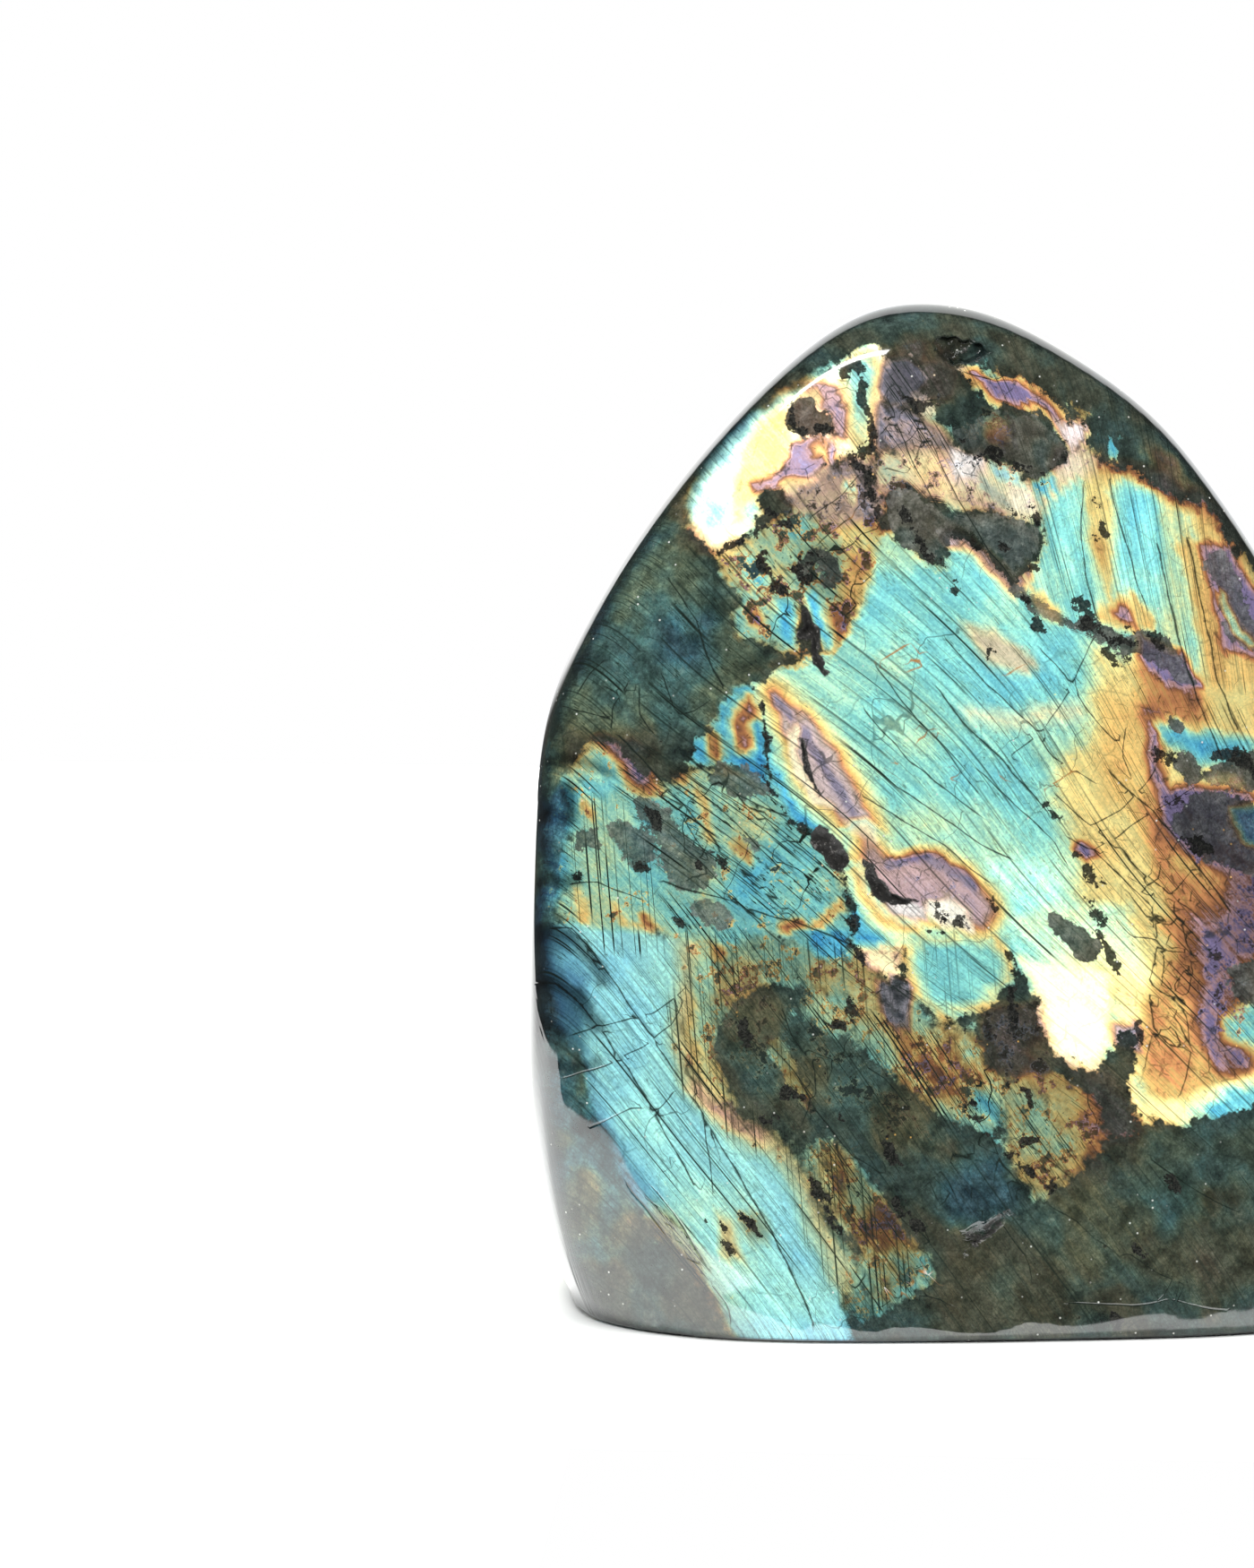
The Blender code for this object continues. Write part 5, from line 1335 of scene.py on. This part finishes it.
    # Cleavage, cracks and ragged breaks darken what is there
    line = s.most(s.times(s.most(s.times(coarse, 0.95), s.times(middle, 0.72), s.times(fine, 0.5)), lines),
                  s.times(cross, lines, 0.6),
                  s.times(comb, s.painted("comb"), 0.75),
                  s.times(veins, s.between(lit_share, 0.6, 0.32)),
                  s.times(crazed, s.rise(hue, 0.72, 0.82, 0.0, 0.7), s.between(lit_share, 0.6, 1.0)),
                  s.times(crazed, s.between(lit_share, 0.42, 0.0)),
                  s.times(hair, lines, s.between(lit_share, 0.8, 0.6)))
    line = s.times(line, s.between(lit_share, 0.75, 1.0), s.between(grey_share, 1.0, 0.65))
    colour = s.mix(line, colour, LINE_COLOUR)
    colour = s.mix(s.times(crack, 0.95), colour, s.ramp(s.painted("crack_tone"), CRACK_COLOURS))
    broken = s.rise(s.add(s.painted("dark"), s.sway(speck, 5.0), s.sway(grain, 0.4)), -0.1, 0.1)
    colour = s.mix(s.times(broken, 0.95), colour, s.ramp(grain, DARK_COLOURS))

    # Painted shade on the shoulders, times the shade layer; then the hollows
    colour = s.dim(colour, s.times(s.painted("shade"), s.rise(s.painted("shoulder"), 0.0, 0.9, 1.0, 0.42)))
    # Painted shade in the hollows, near black, with pale painted glints
    inside = s.painted("pit")
    pit = s.rise(s.add(inside, s.sway(soft, 1.2)), -0.1, 0.12)
    colour = s.mix(pit, colour, s.ramp(s.add(s.times(grain, 0.6), s.times(soft, 0.4)), PIT_SHADE_AND_GLINT_COLOURS))

    # White dust in the smallest pits, and golden flecks where the stone is speckled
    dust = s.cells(place, DUST_SCALE, "F1")
    pick = s.channels(dust["Color"])
    dusty = s.times(s.fall(dust["Distance"], 0.05, 0.19),
                    s.rise(pick[0], s.rise(slow, 0.36, 0.6, 0.96, 0.78), 0.98),
                    s.between(grey_share, 1.0, 0.4))
    golden = s.times(s.rise(spots, 0.3, 0.7), s.rise(pick[1], 0.45, 0.5))
    colour = s.mix(dusty, colour, s.mix(golden, DUST_COLOUR, GOLD_FLECK_COLOUR))
    s.feed(surface.inputs["Base Color"], colour)

    # Polish, which the hollows and the cracks break
    s.feed(surface.inputs["Roughness"], s.add(POLISH, s.times(pit, 0.5), s.times(dusty, 0.3)))
    surface.inputs["IOR"].default_value = STONE_IOR
    bump = s.node("ShaderNodeBump")
    bump.inputs["Strength"].default_value = BUMP_STRENGTH
    bump.inputs["Distance"].default_value = BUMP_DISTANCE
    s.feed(bump.inputs["Height"], s.add(s.times(s.rise(crack_side, 0.0, 0.3, -0.12, 0.0), crack_sure),
                                        s.times(s.rise(inside, -0.3, 0.2), grain, 3.0)))
    s.feed(surface.inputs["Normal"], bump.outputs[0])
    return material


# Studio

# The pale floor, in the outline that the polish mirrors, in m: left, right, front and back
FLOOR_PARTS = ((-0.265, -0.05, -0.06, 0.5), (-0.2, -0.05, -0.25, -0.06), (-0.05, 1.2, -0.085, 0.163))
# How overexposed the floor looks in the polish, before the stone and behind it, and the places between
FLOOR_GLARE, FAR_GLARE = 2.8, 0.8
GLARE_FADES = (0.02, 0.12)
FLOOR_ENDS = (0.1, 0.16)                 # where the floor fades into the white behind it, seen straight
FOOT_HALF = (0.0535, 0.026)              # the foot of the stone, round which a shadow is painted into the floor's glare
FOOT_CORNER = 0.02
PAINTED_FOOT_SHADOW = 0.009
SHADOW_CORE = 0.35                       # the share of it that is fully dark
FLOOR_COLOURS = ((0.3, (0.90, 0.92, 0.90)), (0.7, (0.93, 0.94, 0.93)))
FLOOR_ROUGHNESS = 0.6
WHITE = (1.0, 1.0, 1.0, 1.0)


def pale_floor():
    """A plain pale floor, whose glare shows in the polish alone, with a painted shadow in the glare round the
    stone's foot.
    """
    material = bpy.data.materials.new("pale_floor")
    material.use_nodes = True
    s = Shading(material.node_tree)
    surface = material.node_tree.nodes["Principled BSDF"]
    place = s.node("ShaderNodeTexCoord").outputs["Object"]
    s.feed(surface.inputs["Base Color"], s.ramp(s.noise(place, 3.0), FLOOR_COLOURS))
    surface.inputs["Roughness"].default_value = FLOOR_ROUGHNESS
    surface.inputs["Emission Color"].default_value = WHITE
    sides = s.axes(place)
    across, back = (s.most(s.less(s.size(sides[axis]), half - FOOT_CORNER), 0.0)
                    for axis, half in zip("XY", FOOT_HALF))
    away = s.less(s.math("SQRT", s.add(s.times(across, across), s.times(back, back))), FOOT_CORNER)
    ray = s.node("ShaderNodeLightPath").outputs
    # Painted shadow: the glare fades out near the stone's foot
    glare = s.times(ray["Is Glossy Ray"], s.rise(away, SHADOW_CORE * PAINTED_FOOT_SHADOW, PAINTED_FOOT_SHADOW),
                    s.rise(sides["Y"], *GLARE_FADES, FLOOR_GLARE, FAR_GLARE))
    fade = s.times(ray["Is Camera Ray"], s.rise(sides["Y"], *FLOOR_ENDS))
    s.feed(surface.inputs["Emission Strength"], s.add(glare, fade))
    for number, (left, right, front, back) in enumerate(FLOOR_PARTS):
        bpy.ops.object.select_all(action="DESELECT")
        bpy.ops.mesh.primitive_plane_add(size=1, location=((left + right) / 2, (front + back) / 2, 0))
        floor = bpy.context.object
        floor.name = f"floor_{number + 1}"
        floor.scale = (right - left, back - front, 1)
        bpy.ops.object.transform_apply(location=True, rotation=True, scale=True)
        floor.data.materials.append(material)


# The pale backdrop high behind the stone, which its top edge mirrors
BACKDROP_RISE = math.radians(30)
BACKDROP_INNER = math.radians(33)        # it is full up to here from its middle, and gone at BACKDROP_OUTER
BACKDROP_OUTER = math.radians(40)
BACKDROP_LIGHT = 3.0
ROOM_LIGHT = 0.10


def studio_world():
    """White straight at the camera, and a dim room with the backdrop for all else."""
    world = bpy.data.worlds.new("studio")
    bpy.context.scene.world = world
    world.use_nodes = True
    world.node_tree.nodes.clear()
    s = Shading(world.node_tree)
    towards = s.node("ShaderNodeVectorMath", operation="DOT_PRODUCT")
    s.feed(towards.inputs[0], s.node("ShaderNodeTexCoord").outputs["Generated"])
    towards.inputs[1].default_value = (0, math.cos(BACKDROP_RISE), math.sin(BACKDROP_RISE))
    strength = s.rise(towards.outputs["Value"], math.cos(BACKDROP_OUTER), math.cos(BACKDROP_INNER),
                      ROOM_LIGHT, BACKDROP_LIGHT)
    room = s.node("ShaderNodeBackground")
    s.feed(room.inputs["Strength"], strength)
    seen = s.node("ShaderNodeBackground")
    seen.inputs["Color"].default_value = WHITE
    mixed = s.node("ShaderNodeMixShader")
    s.feed(mixed.inputs[0], s.node("ShaderNodeLightPath").outputs["Is Camera Ray"])
    s.feed(mixed.inputs[1], room.outputs[0])
    s.feed(mixed.inputs[2], seen.outputs[0])
    s.feed(s.node("ShaderNodeOutputWorld").inputs["Surface"], mixed.outputs[0])


# Soft lights: place and what they point at in m, width in m and power in W
FILLS = {
    "front_fill": ((-0.1, -1.1, 0.9), (0, 0, 0.07), 0.5, 10),
    "left_fill": ((-1.0, -0.3, 0.7), (0, 0, 0.07), 0.5, 4.5),
    "right_fill": ((1.0, -0.3, 0.7), (0, 0, 0.07), 0.5, 4.5),
    "top_fill": ((0, 0.1, 1.3), (0, 0, 0), 1.0, 20),
}
SHOULDER_STRIP = ((-0.235, -0.58, 0.92), (-0.015, 0, 0.14), 0.5, 1.6)
STRIP_HEIGHT = 0.035


def soft_light(name, place, aim, width, power):
    light = bpy.data.lights.new(name, "AREA")
    light.energy = power
    light.size = width
    lamp = bpy.data.objects.new(name, light)
    bpy.context.scene.collection.objects.link(lamp)
    lamp.location = place
    lamp.rotation_mode = "QUATERNION"
    lamp.rotation_quaternion = (Vector(aim) - Vector(place)).to_track_quat("-Z", "Y")
    lamp.visible_glossy = False
    return lamp


def studio_lights():
    """Fills that the polish doesn't mirror, and the narrow strip whose glint lies along the left shoulder."""
    for name, fill in FILLS.items():
        soft_light(name, *fill)
    strip = soft_light("shoulder_strip", *SHOULDER_STRIP)
    strip.data.shape = "RECTANGLE"
    strip.data.size_y = STRIP_HEIGHT
    strip.visible_glossy = True


def photo_camera():
    """A camera at the photo's place and angle."""
    camera = bpy.data.cameras.new("camera")
    camera.lens = LENS
    camera.sensor_width = SENSOR
    holder = bpy.data.objects.new("camera", camera)
    bpy.context.scene.collection.objects.link(holder)
    holder.location = camera_place()
    holder.rotation_mode = "QUATERNION"
    holder.rotation_quaternion = sight_axes()[2].to_track_quat("-Z", "Y")
    bpy.context.scene.camera = holder
    bpy.context.scene.view_settings.view_transform = "Standard"


stone = stone_blank()
paint_stone(stone)
stone.data.materials.append(stone_material())
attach(stone, "root")
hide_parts(NODE)

pale_floor()
studio_world()
studio_lights()
photo_camera()
